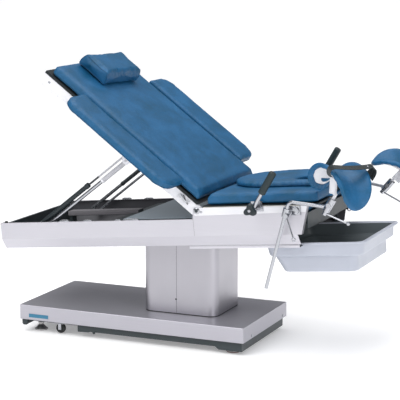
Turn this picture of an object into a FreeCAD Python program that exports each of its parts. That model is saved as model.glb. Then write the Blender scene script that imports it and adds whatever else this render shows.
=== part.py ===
import FreeCAD, Part
import math
import os
import re
from FreeCAD import Vector, Rotation, Placement, Matrix

# Obstetric operating table, millimetres, +Z up.
# Origin on the floor under the axis of the lifting column. +X is the foot end, -Y the near side.
# The table top is tilted foot end up at rest; its pieces are laid out in the top's own frame
# (x along the top from the pivot, h above the pivot) and placed with one rotation.

os.makedirs("parts", exist_ok=True)
doc = FreeCAD.newDocument("operating_table")
sheet = doc.addObject("Spreadsheet::Sheet", "dims")

DIMS = [
    # base
    ("base_left", -683), ("base_right", 345), ("base_half", 249.5), ("base_low", 55), ("base_top", 118),
    ("cover_wall", 2), ("under_left", -414), ("under_right", 333), ("under_half", 236), ("under_low", 15),
    ("foot_head_x", -619), ("foot_foot_x", 275), ("foot_y", 182), ("foot_rad", 28.5),
    ("castor_x", -521), ("castor_y", 214), ("castor_rad", 22), ("castor_wide", 17), ("castor_trail", 16),
    # column
    ("col_left", -156), ("col_right", 177), ("col_half_y", 137), ("col_corner", 40), ("col_low", 122), ("col_high", 428),
    ("inner_gap", 3), ("inner_high", 384), ("mast_half", 60), ("mast_bore", 50.5), ("mast_high", 370),
    ("ram_half", 50), ("yoke_low", 388), ("yoke_thick", 12), ("pivot_high", 435.6), ("shaft_rad", 15),
    # table top
    ("top_tilt", 5.344), ("top_half", 300), ("panel_thick", 3), ("beam_left", -734), ("beam_right", 596),
    ("beam_right_up", 645), ("beam_top", 108), ("fold_high", 40), ("seat_panel_top", 153.5),
    ("seat_panel_left", 155), ("lip_low", -3), ("plate_left", -178), ("plate_right", 150),
    # back section
    ("hinge_x", 177), ("hinge_high", 142.5), ("back_angle", 36.6), ("back_len", 865), ("rail_low", -28),
    ("rail_high", 18), ("rail_out", 294), ("rail_in", 280), ("board_thick", 11), ("cushion_low", 29.5),
    ("cushion_high", 70), ("cushion_half", 300), ("back_pad_end", 845),
    # side pads
    ("side_in", 306), ("side_out", 483), ("side_start", 106), ("side_end", 668), ("side_low", 36),
    # seat
    ("board_left", 205), ("board_right", 690), ("seat_left", 213), ("seat_right", 690), ("seat_low", 161.3),
    ("seat_high", 209), ("ring_high", 234), ("ring_half", 190), ("ring_front", 240), ("cut_half", 112),
    ("cut_centre", 622),
    # struts
    ("strut_y", 266), ("near_tube", 7.5), ("far_tube", 5.5), ("near_sleeve", 10), ("far_sleeve", 8.5),
    ("near_gas", 9.5), ("far_gas", 9), ("gas_rod_rad", 4), ("near_off", 23), ("far_off", 26), ("dust_rad", 7.5),
    # leg section and basin
    ("leg_left", 232), ("leg_right", 632), ("leg_half", 266), ("leg_low", 119), ("leg_high", 150),
    ("basin_left", 415), ("basin_right", 846), ("basin_half", 244), ("basin_top", -2.5), ("basin_low", -126),
    # hand grips and leg supports
    ("grip_rad", 14.5), ("grip_len", 98), ("grip_y", 358), ("far_grip_shift", 24), ("rod_rad", 7), ("block_rad", 15), ("block_len", 55),
    ("far_drop", 11), ("far_swing", -40), ("far_pitch", 27), ("far_lean", 25), ("arch_rad", 134), ("trough_rad", 82), ("shell_thick", 3), ("cover_thick", 13),
]
D = {}
for i, (alias, number) in enumerate(DIMS):
    cell = "B%d" % (i + 1)
    sheet.set("A%d" % (i + 1), alias)
    sheet.set(cell, str(number))
    sheet.setAlias(cell, alias)
    D[alias] = float(number)
doc.recompute()


def val(e):
    """Number of a sum of products of cell names and numbers."""
    toks = re.findall(r"[A-Za-z_]\w*|\d+\.?\d*|[-+*/]", str(e))
    total, term, sign, op = 0.0, None, 1.0, "*"
    for t in toks:
        if t in "+-" and term is not None and op is None:
            total += sign * term
            term, sign, op = None, (1.0 if t == "+" else -1.0), "*"
        elif t == "-" and term is None:
            sign = -sign
        elif t == "+" and term is None:
            pass
        elif t in "*/":
            op = t
        else:
            n = D[t] if t in D else float(t)
            if term is None:
                term = n
            elif op == "*":
                term *= n
            else:
                term /= n
            op = None
    return total + sign * (term or 0.0)


def bind(o, prop, e):
    if re.search(r"[A-Za-z_]", str(e)):
        o.setExpression(prop, re.sub(r"[A-Za-z_]\w*", lambda m: "dims." + m.group(0), str(e)))


count = {}


def fresh(n):
    count[n] = count.get(n, 0) + 1
    return n if count[n] == 1 else "%s_%d" % (n, count[n])


def box(x, y, z, l, w, t, n="block"):
    o = doc.addObject("Part::Box", fresh(n))
    o.Length, o.Width, o.Height = val(l), val(w), val(t)
    o.Placement = Placement(Vector(val(x), val(y), val(z)), Rotation())
    for prop, e in (("Length", l), ("Width", w), ("Height", t), ("Placement.Base.x", x),
                    ("Placement.Base.y", y), ("Placement.Base.z", z)):
        bind(o, prop, e)
    return o


def less(a, b):
    """Expression a - b for sums without brackets."""
    b = str(b).replace(" ", "")
    flipped = "".join({"+": "-", "-": "+"}.get(ch, ch) for ch in b)
    return str(a) + (flipped if b[0] in "+-" else "-" + flipped)


def span(x0, x1, y0, y1, z0, z1, n="block"):
    return box(x0, y0, z0, less(x1, x0), less(y1, y0), less(z1, z0), n)


def cyl(p, axis, r, t, n="round"):
    o = doc.addObject("Part::Cylinder", fresh(n))
    o.Radius, o.Height = val(r), val(t)
    ax = {"x": Vector(1, 0, 0), "y": Vector(0, 1, 0), "z": Vector(0, 0, 1)}.get(axis, axis) \
        if isinstance(axis, str) else Vector(*axis)
    o.Placement = Placement(Vector(*[val(c) for c in p]), Rotation(Vector(0, 0, 1), ax))
    bind(o, "Radius", r)
    bind(o, "Height", t)
    return o


def rod(a, b, r, n="round"):
    va, vb = Vector(*a), Vector(*b)
    d = vb.sub(va)
    return cyl((va.x, va.y, va.z), (d.x, d.y, d.z), r, d.Length, n)


def cone(p, axis, r1, r2, t, n="taper"):
    o = doc.addObject("Part::Cone", fresh(n))
    o.Radius1, o.Radius2, o.Height = val(r1), val(r2), val(t)
    o.Placement = Placement(Vector(*[val(c) for c in p]), Rotation(Vector(0, 0, 1), Vector(*axis)))
    bind(o, "Radius1", r1)
    bind(o, "Radius2", r2)
    return o


def fuse(objs, n="joined"):
    o = doc.addObject("Part::MultiFuse", fresh(n))
    o.Shapes = objs
    return o


def cut(a, b, n="trimmed"):
    o = doc.addObject("Part::Cut", fresh(n))
    o.Base = a
    o.Tool = b if not isinstance(b, list) else fuse(b, "tools")
    return o


def group(objs, n="group"):
    o = doc.addObject("Part::Compound", fresh(n))
    o.Links = objs
    return o


def rounded(o, r, direction, n="rounded", pick=None):
    """Fillet of the edges of o that run along one direction."""
    doc.recompute()
    f = doc.addObject("Part::Fillet", fresh(n))
    f.Base = o
    d = Vector(*direction)
    edges = []
    for i, e in enumerate(o.Shape.Edges):
        if e.Curve.TypeId != "Part::GeomLine":
            continue
        t = e.tangentAt(e.FirstParameter)
        if abs(abs(t.dot(d)) - 1) < 1e-4 and (pick is None or pick(e.CenterOfMass)):
            edges.append((i + 1, val(r), val(r)))
    f.Edges = edges
    return f


def prism(pts, t, n="profile", place=None):
    """Body padded from a polygon whose corners are held by the sheet; profile in x, y and pad along z."""
    b = doc.addObject("PartDesign::Body", fresh(n))
    sk = b.newObject("Sketcher::SketchObject", fresh(n + "_sketch"))
    plane = [f for f in b.Origin.OriginFeatures if f.Role == "XY_Plane"][0]
    sk.AttachmentSupport = [(plane, "")]
    sk.MapMode = "FlatFace"
    import Sketcher
    v = [Vector(val(p[0]), val(p[1]), 0) for p in pts]
    m = len(v)
    for i in range(m):
        sk.addGeometry(Part.LineSegment(v[i], v[(i + 1) % m]), False)
    for i in range(m):
        sk.addConstraint(Sketcher.Constraint("Coincident", i, 2, (i + 1) % m, 1))
    for i, p in enumerate(pts):
        for k, (kind, axis, e) in enumerate((("DistanceX", -2, p[0]), ("DistanceY", -1, p[1]))):
            if abs(val(e)) < 1e-9:
                sk.addConstraint(Sketcher.Constraint("PointOnObject", i, 1, axis))
            else:
                c = sk.addConstraint(Sketcher.Constraint(kind, -1, 1, i, 1, val(e)))
                sk.renameConstraint(c, "c%d%s" % (i, "xy"[k]))
                bind(sk, "Constraints.c%d%s" % (i, "xy"[k]), e)
    pad = b.newObject("PartDesign::Pad", fresh(n + "_pad"))
    pad.Profile = sk
    pad.Length = val(t)
    bind(pad, "Length", t)
    sk.Visibility = False
    if place is not None:
        b.Placement = place
    return b


def in_xz(y_top):
    """Profile x, y laid in x and z; the pad runs toward -y from y_top."""
    return Placement(Vector(0, val(y_top), 0), Rotation(Vector(1, 0, 0), 90))


def in_yz(x_low):
    """Profile x, y laid in y and z; the pad runs toward +x from x_low."""
    return Placement(Vector(val(x_low), 0, 0),
                     Rotation(Vector(0, 1, 0), Vector(0, 0, 1), Vector(1, 0, 0), "ZXY"))


NODES = []


def node(label, o, place=None):
    """Register a finished piece; place is put before its own placement."""
    if place is not None:
        if any("Placement" in e[0] for e in o.ExpressionEngine):
            o.Label = label + "_block"
            o = group([o], label + "_piece")
        doc.recompute()
        o.Placement = place.multiply(o.Placement)
    o.Label = label
    NODES.append(o)
    return o


TOP = Placement(Vector(0, 0, D["pivot_high"]), Rotation(Vector(0, 1, 0), -D["top_tilt"]))
hinge_world = TOP.multVec(Vector(D["hinge_x"], 0, D["hinge_high"]))
BACK = Placement(hinge_world, Rotation(Vector(0, 1, 0), D["back_angle"]))

# ---------------------------------------------------------------- base
shell = span("base_left", "base_right", "-base_half", "base_half", "base_low", "base_top", "base_shell")
shell = rounded(shell, 5, (1, 0, 0), "base_edges", lambda c: c.z > D["base_top"] - 1)
hollow = span("base_left+cover_wall", "base_right-cover_wall", "-base_half+cover_wall", "base_half-cover_wall",
              "base_low-1", "base_top-cover_wall", "base_hollow")
hole = box(-150, -110, "base_top-10", 300, 220, 20, "base_hole")
node("base_cover", cut(shell, [hollow, hole], "base_cover"))

ring = prism([("under_left", "under_low+7"), ("under_left+50", "under_low+9"), ("under_left+60", "under_low+12"),
              (215, "under_low+12"), (232, "under_low"), ("under_right", "under_low"), ("under_right", "base_low-0.5"),
              ("under_left", "base_low-0.5")], "under_half*2", "under_ring", in_xz("under_half"))
ring_in = span("under_left+24", "under_right-24", "-under_half+24", "under_half-24", "under_low-12", "base_low+1",
               "under_ring_in")
rail_near = box("base_left+10", "-castor_y-20", 48, "under_left-base_left", 60, 6.5, "castor_rail_near")
rail_far = box("base_left+10", "castor_y-40", 48, "under_left-base_left", 60, 6.5, "castor_rail_far")
rail_end = box("base_left+10", "-castor_y+30", 48, 40, "castor_y*2-60", 6.5, "castor_rail_end")
tabs = [box("base_left+12", y, 31, 14, 50, 23.5, "castor_tab") for y in (-230, 180)]
cross_a = box(-110, "-under_half+20", 30, 40, "under_half*2-40", 24.5, "mast_bearer_a")
cross_b = box(70, "-under_half+20", 30, 40, "under_half*2-40", 24.5, "mast_bearer_b")
mast_seat = box(-112, -100, 54.5, 224, 200, 5, "mast_seat")
foot_bores = [cyl((x, y, 0), "z", 8.05, 80, "foot_bore") for x in ("foot_head_x", "foot_foot_x")
              for y in ("foot_y", "-foot_y")]
pads = [box("foot_foot_x-20", y, 32, 40, 56, 22.5, "foot_bracket") for y in ("foot_y-22", "-foot_y-34")]
castor_bores = [cyl(("castor_x", y, 30), "z", 6.05, 40, "castor_bore") for y in ("castor_y", "-castor_y")]
node("base_frame", cut(fuse([cut(ring, ring_in, "under_frame"), rail_near, rail_far, rail_end, cross_a, cross_b,
                             mast_seat] + pads + tabs, "base_frame_solid"), foot_bores + castor_bores, "base_frame"))

node("name_plate", box(-640, "-base_half-1.2", 66, 93, 1.1, 15.5, "name_plate"))

screws = []
for y in (-157, 203):
    screws.append(cyl(("base_right+0.1", y, 66), "x", 5.5, 2, "end_screw"))
    screws.append(cyl(("base_left-2.1", y, 66), "x", 5.5, 2, "end_screw"))
node("base_screws", group(screws, "base_screws"))

feet = []
for x in ("foot_head_x", "foot_foot_x"):
    for y in ("foot_y", "-foot_y"):
        disc = cyl((x, y, 0), "z", "foot_rad", 6, "foot_disc")
        taper = cone((x, y, 6), (0, 0, 1), "foot_rad-3", 11, 16, "foot_taper")
        stem = cyl((x, y, 22), "z", 8, 31, "foot_stem")
        feet.append(fuse([disc, taper, stem], "foot"))
node("levelling_feet", group(feet, "levelling_feet"))

for side, sg in (("near", "-"), ("far", "")):
    y = sg + "castor_y"
    wx = "castor_x+castor_trail"
    plate = box("castor_x-16", sg + "castor_y-16", 45.4, 52, 32, 2.3, side + "_fork_plate")
    stem = cyl(("castor_x", y, 47.6), "z", 6, 6.6, side + "_fork_stem")
    bore = cyl((wx, sg + "castor_y-20", "castor_rad+2"), "y", 4.05, 40, side + "_fork_bore")
    # legs reach down to the axle height
    legs = [box(val(wx) - 7, val(y) + q, 19, 14, 2.5, 27, side + "_fork_leg") for q in (10.5, -13)]
    node(side + "_castor_fork", cut(fuse([plate, stem] + legs, side + "_fork_solid"), bore, side + "_castor_fork"))
    wheel = cyl((wx, sg + "castor_y-castor_wide/2", "castor_rad+2"), "y", "castor_rad-0.7", "castor_wide",
                side + "_tyre")
    axle = cyl((wx, sg + "castor_y-13.5", "castor_rad+2"), "y", 4, 27, side + "_axle")
    node(side + "_castor_wheel", fuse([wheel, axle], side + "_castor_wheel"))

# ---------------------------------------------------------------- column
inner = rounded(box("col_left+cover_wall+inner_gap", "-col_half_y+cover_wall+inner_gap", "base_top+0.2",
                    "col_right-col_left-cover_wall*2-inner_gap*2", "col_half_y*2-cover_wall*2-inner_gap*2",
                    "inner_high-base_top", "inner_block"), "col_corner-5", (0, 0, 1), "inner_round")
inner_in = rounded(box("col_left+cover_wall*2+inner_gap", "-col_half_y+cover_wall*2+inner_gap", "base_top-5",
                       "col_right-col_left-cover_wall*4-inner_gap*2", "col_half_y*2-cover_wall*4-inner_gap*2",
                       "inner_high-base_top+20", "inner_void"), "col_corner-7", (0, 0, 1), "inner_void_round")
node("column_lower_cover", cut(inner, inner_in, "column_lower_cover"))

mast = box("-mast_half", "-mast_half", 59.7, "mast_half*2", "mast_half*2", "mast_high-60", "mast_block")
mast_in = box("-mast_bore", "-mast_bore", 80, "mast_bore*2", "mast_bore*2", "mast_high", "mast_void")
mast_foot = box(-105, -90, 59.7, 210, 180, 12, "mast_foot")
node("column_mast", cut(fuse([mast, mast_foot], "mast_solid"), mast_in, "column_mast"))

outer = rounded(box("col_left", "-col_half_y", "col_low", "col_right-col_left", "col_half_y*2", "col_high-col_low",
                    "outer_block"), "col_corner", (0, 0, 1), "outer_round")
outer_in = rounded(box("col_left+cover_wall", "-col_half_y+cover_wall", "col_low-5",
                       "col_right-col_left-cover_wall*2", "col_half_y*2-cover_wall*2", "col_high-col_low+20",
                       "outer_void"), "col_corner-2", (0, 0, 1), "outer_void_round")
node("column_upper_cover", cut(outer, outer_in, "column_upper_cover"))

node("lift_ram", box("-ram_half", "-ram_half", 90, "ram_half*2", "ram_half*2", "yoke_low-90.2", "lift_ram"))

yoke_plate = rounded(box(-151, -134.7, "yoke_low", 323, 269.4, "yoke_thick", "yoke_plate"), 36, (0, 0, 1),
                     "yoke_plate_round")
yoke_slot = box(78, -44, "yoke_low-5", 72, 88, 30, "yoke_slot")
yoke_lugs = []
for y in (-103, 87):
    web = box(-30, y, "yoke_low+yoke_thick-1", 60, 16, "pivot_high-yoke_low-yoke_thick+1", "yoke_web")
    head = cyl((0, y, "pivot_high"), "y", 30, 16, "yoke_head")
    yoke_lugs += [web, head]
arms = [box(97, y, 236, 30, 8, "yoke_low-236+1", "yoke_arm") for y in (-52, 44)]
arm_tie = [box(84, y, "yoke_low", 60, 10, "yoke_thick", "yoke_tie") for y in (-54, 44)]
yoke_bore = cyl((0, -140, "pivot_high"), "y", "shaft_rad+0.05", 280, "yoke_bore")
arm_bore = cyl((112, -60, 250), "y", 6.05, 120, "arm_bore")
node("tilt_yoke", cut(fuse([cut(yoke_plate, yoke_slot, "yoke_open")] + yoke_lugs + arms + arm_tie, "yoke_solid"),
                      [yoke_bore, arm_bore], "tilt_yoke"))

# tilt actuator: cylinder on the yoke arms, rod up to the frame bracket (open pivot with clearance)
frame_eye = TOP.multVec(Vector(112, 0, 40))
tilt_dir = frame_eye.sub(Vector(112, 0, 250))
tilt_dir.normalize()
TILT = Placement(Vector(112, 0, 250), Rotation(Vector(0, 0, 1), tilt_dir))
barrel = cyl((0, 0, 12), "z", 22, 143, "tilt_barrel")
eye = cyl((0, -20, 0), "y", 14, 40, "tilt_eye")
pin_c = cyl((0, -51.5, 0), "y", 6, 103, "tilt_pin")
barrel_bore = cyl((0, 0, 26), "z", 10.05, 160, "tilt_bore")
node("tilt_cylinder", cut(fuse([barrel, eye, pin_c], "tilt_barrel_solid"), barrel_bore, "tilt_cylinder"), TILT)
eye_at = frame_eye.sub(Vector(112, 0, 250)).Length
stick = cyl((0, 0, 72), "z", 10, eye_at - 72 - 12, "tilt_stick")
fork = cyl((0, -9, eye_at), "y", 18, 18, "tilt_fork")
fork_bore = cyl((0, -12, eye_at), "y", 12, 24, "tilt_fork_bore")
node("tilt_rod", cut(fuse([stick, fork], "tilt_rod_solid"), fork_bore, "tilt_rod"), TILT)

# ---------------------------------------------------------------- table frame
for side, s in (("near", -1), ("far", 1)):
    outline = [("beam_left", "fold_high"), ("beam_left", "beam_top"), ("seat_panel_left", "beam_top"),
               ("seat_panel_left+8", "seat_panel_top"), ("beam_right_up", "seat_panel_top"),
               ("beam_right+16", "fold_high")]
    wall = prism(outline, "panel_thick", side + "_wall",
                 in_xz("top_half") if s > 0 else in_xz("-top_half+panel_thick"))
    y0 = s * D["top_half"]
    lean = [(y0, "fold_high"), (y0 - s * 3, "fold_high"), (y0 - s * 31, "lip_low+3"), (y0 - s * 44, "lip_low+3"),
            (y0 - s * 44, "lip_low"), (y0 - s * 28, "lip_low")]
    lip = prism(lean, "beam_right-beam_left", side + "_lip", in_yz("beam_left"))
    flange = box("beam_left+2", y0 - 12 if s > 0 else y0, "beam_top-3", "seat_panel_left-beam_left-2", 12, 3,
                 side + "_flange")
    end_web = box("beam_left+2", y0 - 25 if s > 0 else y0, "fold_high", 3, 25, "beam_top-fold_high", side + "_end")
    end_ret = prism([("beam_right+12", "fold_high"), ("beam_right+16", "fold_high"),
                     ("beam_right_up", "seat_panel_top"), ("beam_right_up-4", "seat_panel_top")], 22,
                    side + "_return", in_xz(y0) if s > 0 else in_xz(y0 + 22))
    hinge_hole = cyl(("hinge_x", y0 - 20 if s > 0 else y0 - 5, "hinge_high"), "y", 7.05, 25, side + "_hinge_hole")
    node(side + "_side_beam", cut(fuse([wall, lip, flange, end_web, end_ret], side + "_beam_solid"),
                                  hinge_hole, side + "_side_beam"), TOP)

# welded frame: each member is a piece of its own, with a weld gap of a twentieth of a millimetre
head_bar = box("beam_left+6", -274, 20, 12, 548, 82, "head_member")
# cross members between the side beams, inside the lips, and the centre tube with its post
front = [box(-250, -250, 60, 30, 500, 35, "cross_member")]
for y in (-296.5, 245):
    front.append(box(-250, y, 46, 30, 51.5, 15, "cross_end"))
front.append(box(-556, -25, 90, 336, 50, 19, "centre_tube"))
front.append(box(-556, -18, 7.8, 14, 36, 86, "tube_post"))
mid_bar = box(180, -262, 60, 30, 524, 35, "cross_member")
end_bar = box(556, -262, 30, 20, 524, 26, "cross_member")
# two bearers over the column head with the lugs that carry the tilt shaft
bearers = []
for y in (-130, 112):
    bearer = fuse([box(-219.95, y, 62, 399.9, 18, 33, "bearer"), box(-22, y, 0, 44, 18, 64, "bearing_web"),
                   cyl((0, y, 0), "y", 27, 18, "bearing_head")], "bearer_solid")
    bearers.append(cut(bearer, cyl((0, y - 5, 0), "y", "shaft_rad+0.05", 28, "bearing_bore"), "bearer_done"))
shaft = cyl((0, -129, 0), "y", "shaft_rad", 258, "tilt_shaft")
# bracket for the tilt rod
bracket = [box(100, y, 26, 24, 8, 70, "rod_bracket") for y in (-24, 16)]
bracket.append(box(100, -111.95, 80, 24, 223.9, 12, "rod_bracket_bar"))
bracket.append(cyl((112, -24, 40), "y", 6, 48, "rod_bracket_pin"))
# leg section rails and basin rails on each side
rails = []
for s in (-1, 1):
    rails.append(fuse([box(205, 271 if s > 0 else -296.7, 110, 415, 25.7, 5, "leg_rail"),
                       box(205, 262.05 if s > 0 else -296.7, 84, 17, 34.65, 30, "rail_post"),
                       box(196, 262.05 if s > 0 else -290, 78, 14, 27.95, 17, "rail_tie")], "leg_rail_solid"))
    low = [box(120, 236 if s > 0 else -271, -15, 470, 35, 3, "basin_rail_low"),
           box(120, 262 if s > 0 else -271, -15, 470, 9, 11.6, "basin_rail_web")]
    for x in (180, 558):
        low.append(box(x, 245.5 if s > 0 else -255.5, -14, 16, 10, 73.95 if x < 300 else 43.95, "rail_hanger"))
    rails.append(fuse(low, "basin_rail_solid"))
# tray floor between the beams at the head end
pan = box("beam_left+20", -250, 4.2, "-227-beam_left", 500, 3, "tray_floor")
pan_up = [box("beam_left+20", y, 4.2, "-227-beam_left", 3, 16, "tray_edge") for y in (-250, 247)]
# pins of the back section, welded in the side beams
pins = [cyl(("hinge_x", y, "hinge_high"), "y", 7, 27.5, "hinge_pin") for y in (-307, 279.5)]
heads = [cyl(("hinge_x", y, "hinge_high"), "y", 11, 4, "hinge_head") for y in (-304.2, 300.2)]
node("frame_members", group([fuse(front, "front_solid"), head_bar, mid_bar, end_bar] + bearers + [shaft] + [
    fuse(bracket, "rod_bracket_solid")] + rails + [fuse([pan] + pan_up, "tray_pan"), fuse([pins[0], heads[0]], "near_pin"),
                                                   fuse([pins[1], heads[1]], "far_pin")], "frame_members"), TOP)

plate = box("plate_left", -252, "beam_top-3", "plate_right-plate_left", 504, 3, "head_plate")
bolts = [cyl((x, y, "beam_top-0.5"), "z", 4.5, 3, "plate_bolt") for x in (96, 128) for y in (-236, 236)]
node("cover_plate", fuse([plate] + bolts, "cover_plate"), TOP)

u_cut = [box("cut_centre", "-cut_half", "seat_low-20", 200, "cut_half*2", 120, "cut_box"),
         cyl(("cut_centre", 0, "seat_low-20"), "z", "cut_half", 120, "cut_round")]
board = span("board_left", "board_right", "-top_half+1", "top_half-1", "seat_panel_top+0.2", "seat_low-0.3",
             "seat_board_block")
node("seat_board", cut(board, u_cut, "seat_board"), TOP)

seat_profile = [("seat_left", "seat_low"), ("seat_right", "seat_low"), ("seat_right", "seat_high-10"),
                ("seat_right-8", "seat_high"), ("seat_left+20", "seat_high"), ("seat_left", "seat_high-24")]
seat = prism(seat_profile, "cushion_half*2", "seat_block", in_xz("cushion_half"))
u_cut2 = [box("cut_centre", "-cut_half", "seat_low-20", 200, "cut_half*2", 120, "cut_box"),
          cyl(("cut_centre", 0, "seat_low-20"), "z", "cut_half", 120, "cut_round")]
node("seat_cushion", cut(seat, u_cut2, "seat_cushion"), TOP)

ring_body = fuse([box("ring_front+ring_half", "-ring_half", "seat_high+0.2", "seat_right-ring_front-ring_half-2",
                      "ring_half*2", "ring_high-seat_high-0.2", "ring_box"),
                  cyl(("ring_front+ring_half", 0, "seat_high+0.2"), "z", "ring_half", "ring_high-seat_high-0.2",
                      "ring_round")], "ring_solid")
u_cut3 = [box("cut_centre", "-cut_half", "seat_low-20", 200, "cut_half*2", 120, "cut_box"),
          cyl(("cut_centre", 0, "seat_low-20"), "z", "cut_half", 120, "cut_round")]
node("seat_ring_cushion", cut(ring_body, u_cut3, "seat_ring_cushion"), TOP)

# ---------------------------------------------------------------- back section (x = -s along the back, z = n)
frame = []
for s in (-1, 1):
    rail = prism([("-back_len", "rail_low+12"), ("-back_len+24", "rail_low"), (6, "rail_low"), (24, -10), (24, 4),
                  (6, "rail_high"), ("-back_len", "rail_high")], "rail_out-rail_in", "rail",
                 in_xz("rail_out") if s > 0 else in_xz("-rail_in"))
    frame.append(rail)
    # lug that carries the strut
    frame.append(prism([(-393, "rail_low+2"), (-334, "rail_low+2"), (-352, -60), (-375, -60)], 6, "strut_lug",
                       in_xz(286) if s > 0 else in_xz(-280)))
for x in (-855, -620, -240, -60):
    frame.append(box(x, -281, 6, 30, 562, "rail_high-6", "back_cross"))
bores = [cyl((0, -310, 0), "y", 7.05, 620, "hinge_bore"),
         cyl((-363.6, -300, -47.2), "y", 5.05, 600, "strut_bore")]
node("back_frame", cut(fuse(frame, "back_frame_solid"), bores, "back_frame"), BACK)
node("back_board", span("-back_len+8", "-14", "-cushion_half+2", "cushion_half-2", "rail_high+0.2",
                        "cushion_low-0.3", "back_board"), BACK)
back_profile = [("-back_pad_end", "cushion_low"), (-20, "cushion_low"), (-20, "cushion_low+20"),
                (-46, "cushion_high"), ("-back_pad_end+8", "cushion_high"), ("-back_pad_end", "cushion_high-8")]
node("back_cushion", prism(back_profile, "cushion_half*2", "back_cushion", in_xz("cushion_half")), BACK)

pillow = prism([(-77, 0), (83, 0), (81, 36), (70, 64), (-62, 66), (-74, 38)], 306, "pillow", in_xz(153))
pillow.Placement = Placement(Vector(-748, 22, D["cushion_high"] + 0.5), Rotation(Vector(0, 0, 1), -3)).multiply(
    pillow.Placement)
node("pillow", pillow, BACK)

lever = fuse([cyl((-92, -303.5, 2), "y", 7, 9.3, "lever_boss"),
              prism([(-96, 6), (-88, 8), (-60, 2), (-46, 12), (-42, 8), (-58, -6)], 3.5, "lever_blade",
                    in_xz(-300))], "back_release_lever")
node("back_release_lever", lever, BACK)

for side, s in (("near", -1), ("far", 1)):
    pad_block = box("-side_end", "side_in" if s > 0 else "-side_out", "side_low", "side_end-side_start",
                    "side_out-side_in", "cushion_high-side_low", side + "_pad_block")
    pad = rounded(pad_block, 68, (0, 0, 1), side + "_side_pad",
                  (lambda c: c.y > 400) if s > 0 else (lambda c: c.y < -400))
    node(side + "_side_pad", pad, BACK)

# ---------------------------------------------------------------- struts
H2 = Vector(D["hinge_x"], 0, D["hinge_high"])
back_local = TOP.inverse().multiply(BACK)
U = back_local.multVec(Vector(-363.6, 0, -47.2))
LOW = Vector(-578, 0, 56)
sd = U.sub(LOW)
strut_angle = math.degrees(math.atan2(sd.z, sd.x))
SL = sd.Length
for side, s in (("near", -1), ("far", 1)):
    ST = TOP.multiply(Placement(Vector(U.x, s * D["strut_y"], U.z), Rotation(Vector(0, 1, 0), -strut_angle)))
    tube_r, sleeve_r, gas_r, off = side + "_tube", side + "_sleeve", side + "_gas", side + "_off"
    reach = 149 if s < 0 else 45
    tunnel = side + "_sleeve_bore"
    sleeve = cut(cyl((-reach, 0, 0), "x", sleeve_r, reach + 14, tunnel + "_out"),
                 cyl((-200, 0, 0), "x", tube_r + "+0.05", 260, tunnel), tunnel + "_cut")
    trunnion = cyl((0, 8 if s > 0 else -22, 0), "y", 5, 14, side + "_trunnion")
    tie_u = cut(box(-8, -6, 7, 20, 12, off + "-4", side + "_top_tie"),
                cyl((-200, 0, 0), "x", tube_r + "+0.05", 260, tunnel), side + "_top_tie_cut")
    trunnion = cut(trunnion, cyl((-200, 0, 0), "x", tube_r + "+0.05", 260, tunnel), side + "_trunnion_cut")
    tube = cyl((-SL, 0, 0), "x", tube_r, SL - 11, side + "_chrome")
    low_eye = cyl((-SL, -8, 0), "y", 10, 16, side + "_low_eye")
    low_tie = box(-SL - 6, -6, 0, 16, 12, off, side + "_low_tie")
    if s < 0:
        grod = cyl((-335, 0, off), "x", "gas_rod_rad", 331, side + "_gas_rod")
        upper = [sleeve, trunnion, tie_u, grod]
        gcyl = cut(cyl((-SL - 6, 0, off), "x", gas_r, SL - 209 + 6, side + "_gas_out"),
                   cyl((-SL + 15, 0, off), "x", "gas_rod_rad+0.05", SL, side + "_gas_in"), side + "_gas_cut")
        lower = [tube, low_eye, low_tie, gcyl]
    else:
        gcyl = cut(cyl((-350, 0, off), "x", gas_r, 354, side + "_gas_out"),
                   cyl((-400, 0, off), "x", "dust_rad+0.05", 395, side + "_gas_in"), side + "_gas_cut")
        upper = [sleeve, trunnion, tie_u, gcyl]
        grod = cyl((-SL, 0, off), "x", "dust_rad", SL - 190, side + "_gas_rod")
        lower = [tube, low_eye, low_tie, grod]
    node(side + "_strut_sleeve", fuse(upper, side + "_strut_sleeve"), ST)
    node(side + "_strut_tube", fuse(lower, side + "_strut_tube"), ST)

# ---------------------------------------------------------------- leg section and basin
runner = [box("leg_left", "-leg_half+2", 116, "leg_right-leg_left-2", "leg_half*2-4", 2.5, "leg_plate"),
          box("leg_right-10", "-leg_half+4", 58, 6, "leg_half*2-8", 60, "leg_front"),
          box("leg_left", "-leg_half+6", 98, "leg_right-leg_left-8", 20, 19, "leg_runner"),
          box("leg_left", "leg_half-26", 98, "leg_right-leg_left-8", 20, 19, "leg_runner")]
node("leg_section_frame", fuse(runner, "leg_section_frame"), TOP)
node("leg_section_pad", rounded(span("leg_left", "leg_right", "-leg_half", "leg_half", "leg_low", "leg_high",
                                     "leg_pad_block"), 12, (0, 0, 1), "leg_section_pad"), TOP)

rim = rounded(span("basin_left", "basin_right", "-basin_half", "basin_half", "basin_top-9", "basin_top", "rim"),
              34, (0, 0, 1), "rim_round")
upper_out = rounded(box("basin_left+8", "-basin_half+10", -60, "basin_right-basin_left-24", "basin_half*2-20", 56,
                        "bowl_upper"), 34, (0, 0, 1), "bowl_upper_round")
lower_out = rounded(box("basin_left+36", "-basin_half+28", "basin_low", "basin_right-basin_left-84",
                        "basin_half*2-56", "-basin_low-59", "bowl_lower"), 34, (0, 0, 1), "bowl_lower_round")
upper_in = rounded(box("basin_left+11", "-basin_half+13", -57, "basin_right-basin_left-30", "basin_half*2-26", 80,
                       "bowl_upper_in"), 31, (0, 0, 1), "bowl_upper_in_round")
lower_in = rounded(box("basin_left+39", "-basin_half+31", "basin_low+3", "basin_right-basin_left-90",
                       "basin_half*2-62", 80, "bowl_lower_in"), 31, (0, 0, 1), "bowl_lower_in_round")
node("basin", cut(fuse([rim, upper_out, lower_out], "basin_solid"), [upper_in, lower_in], "basin"), TOP)

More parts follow.
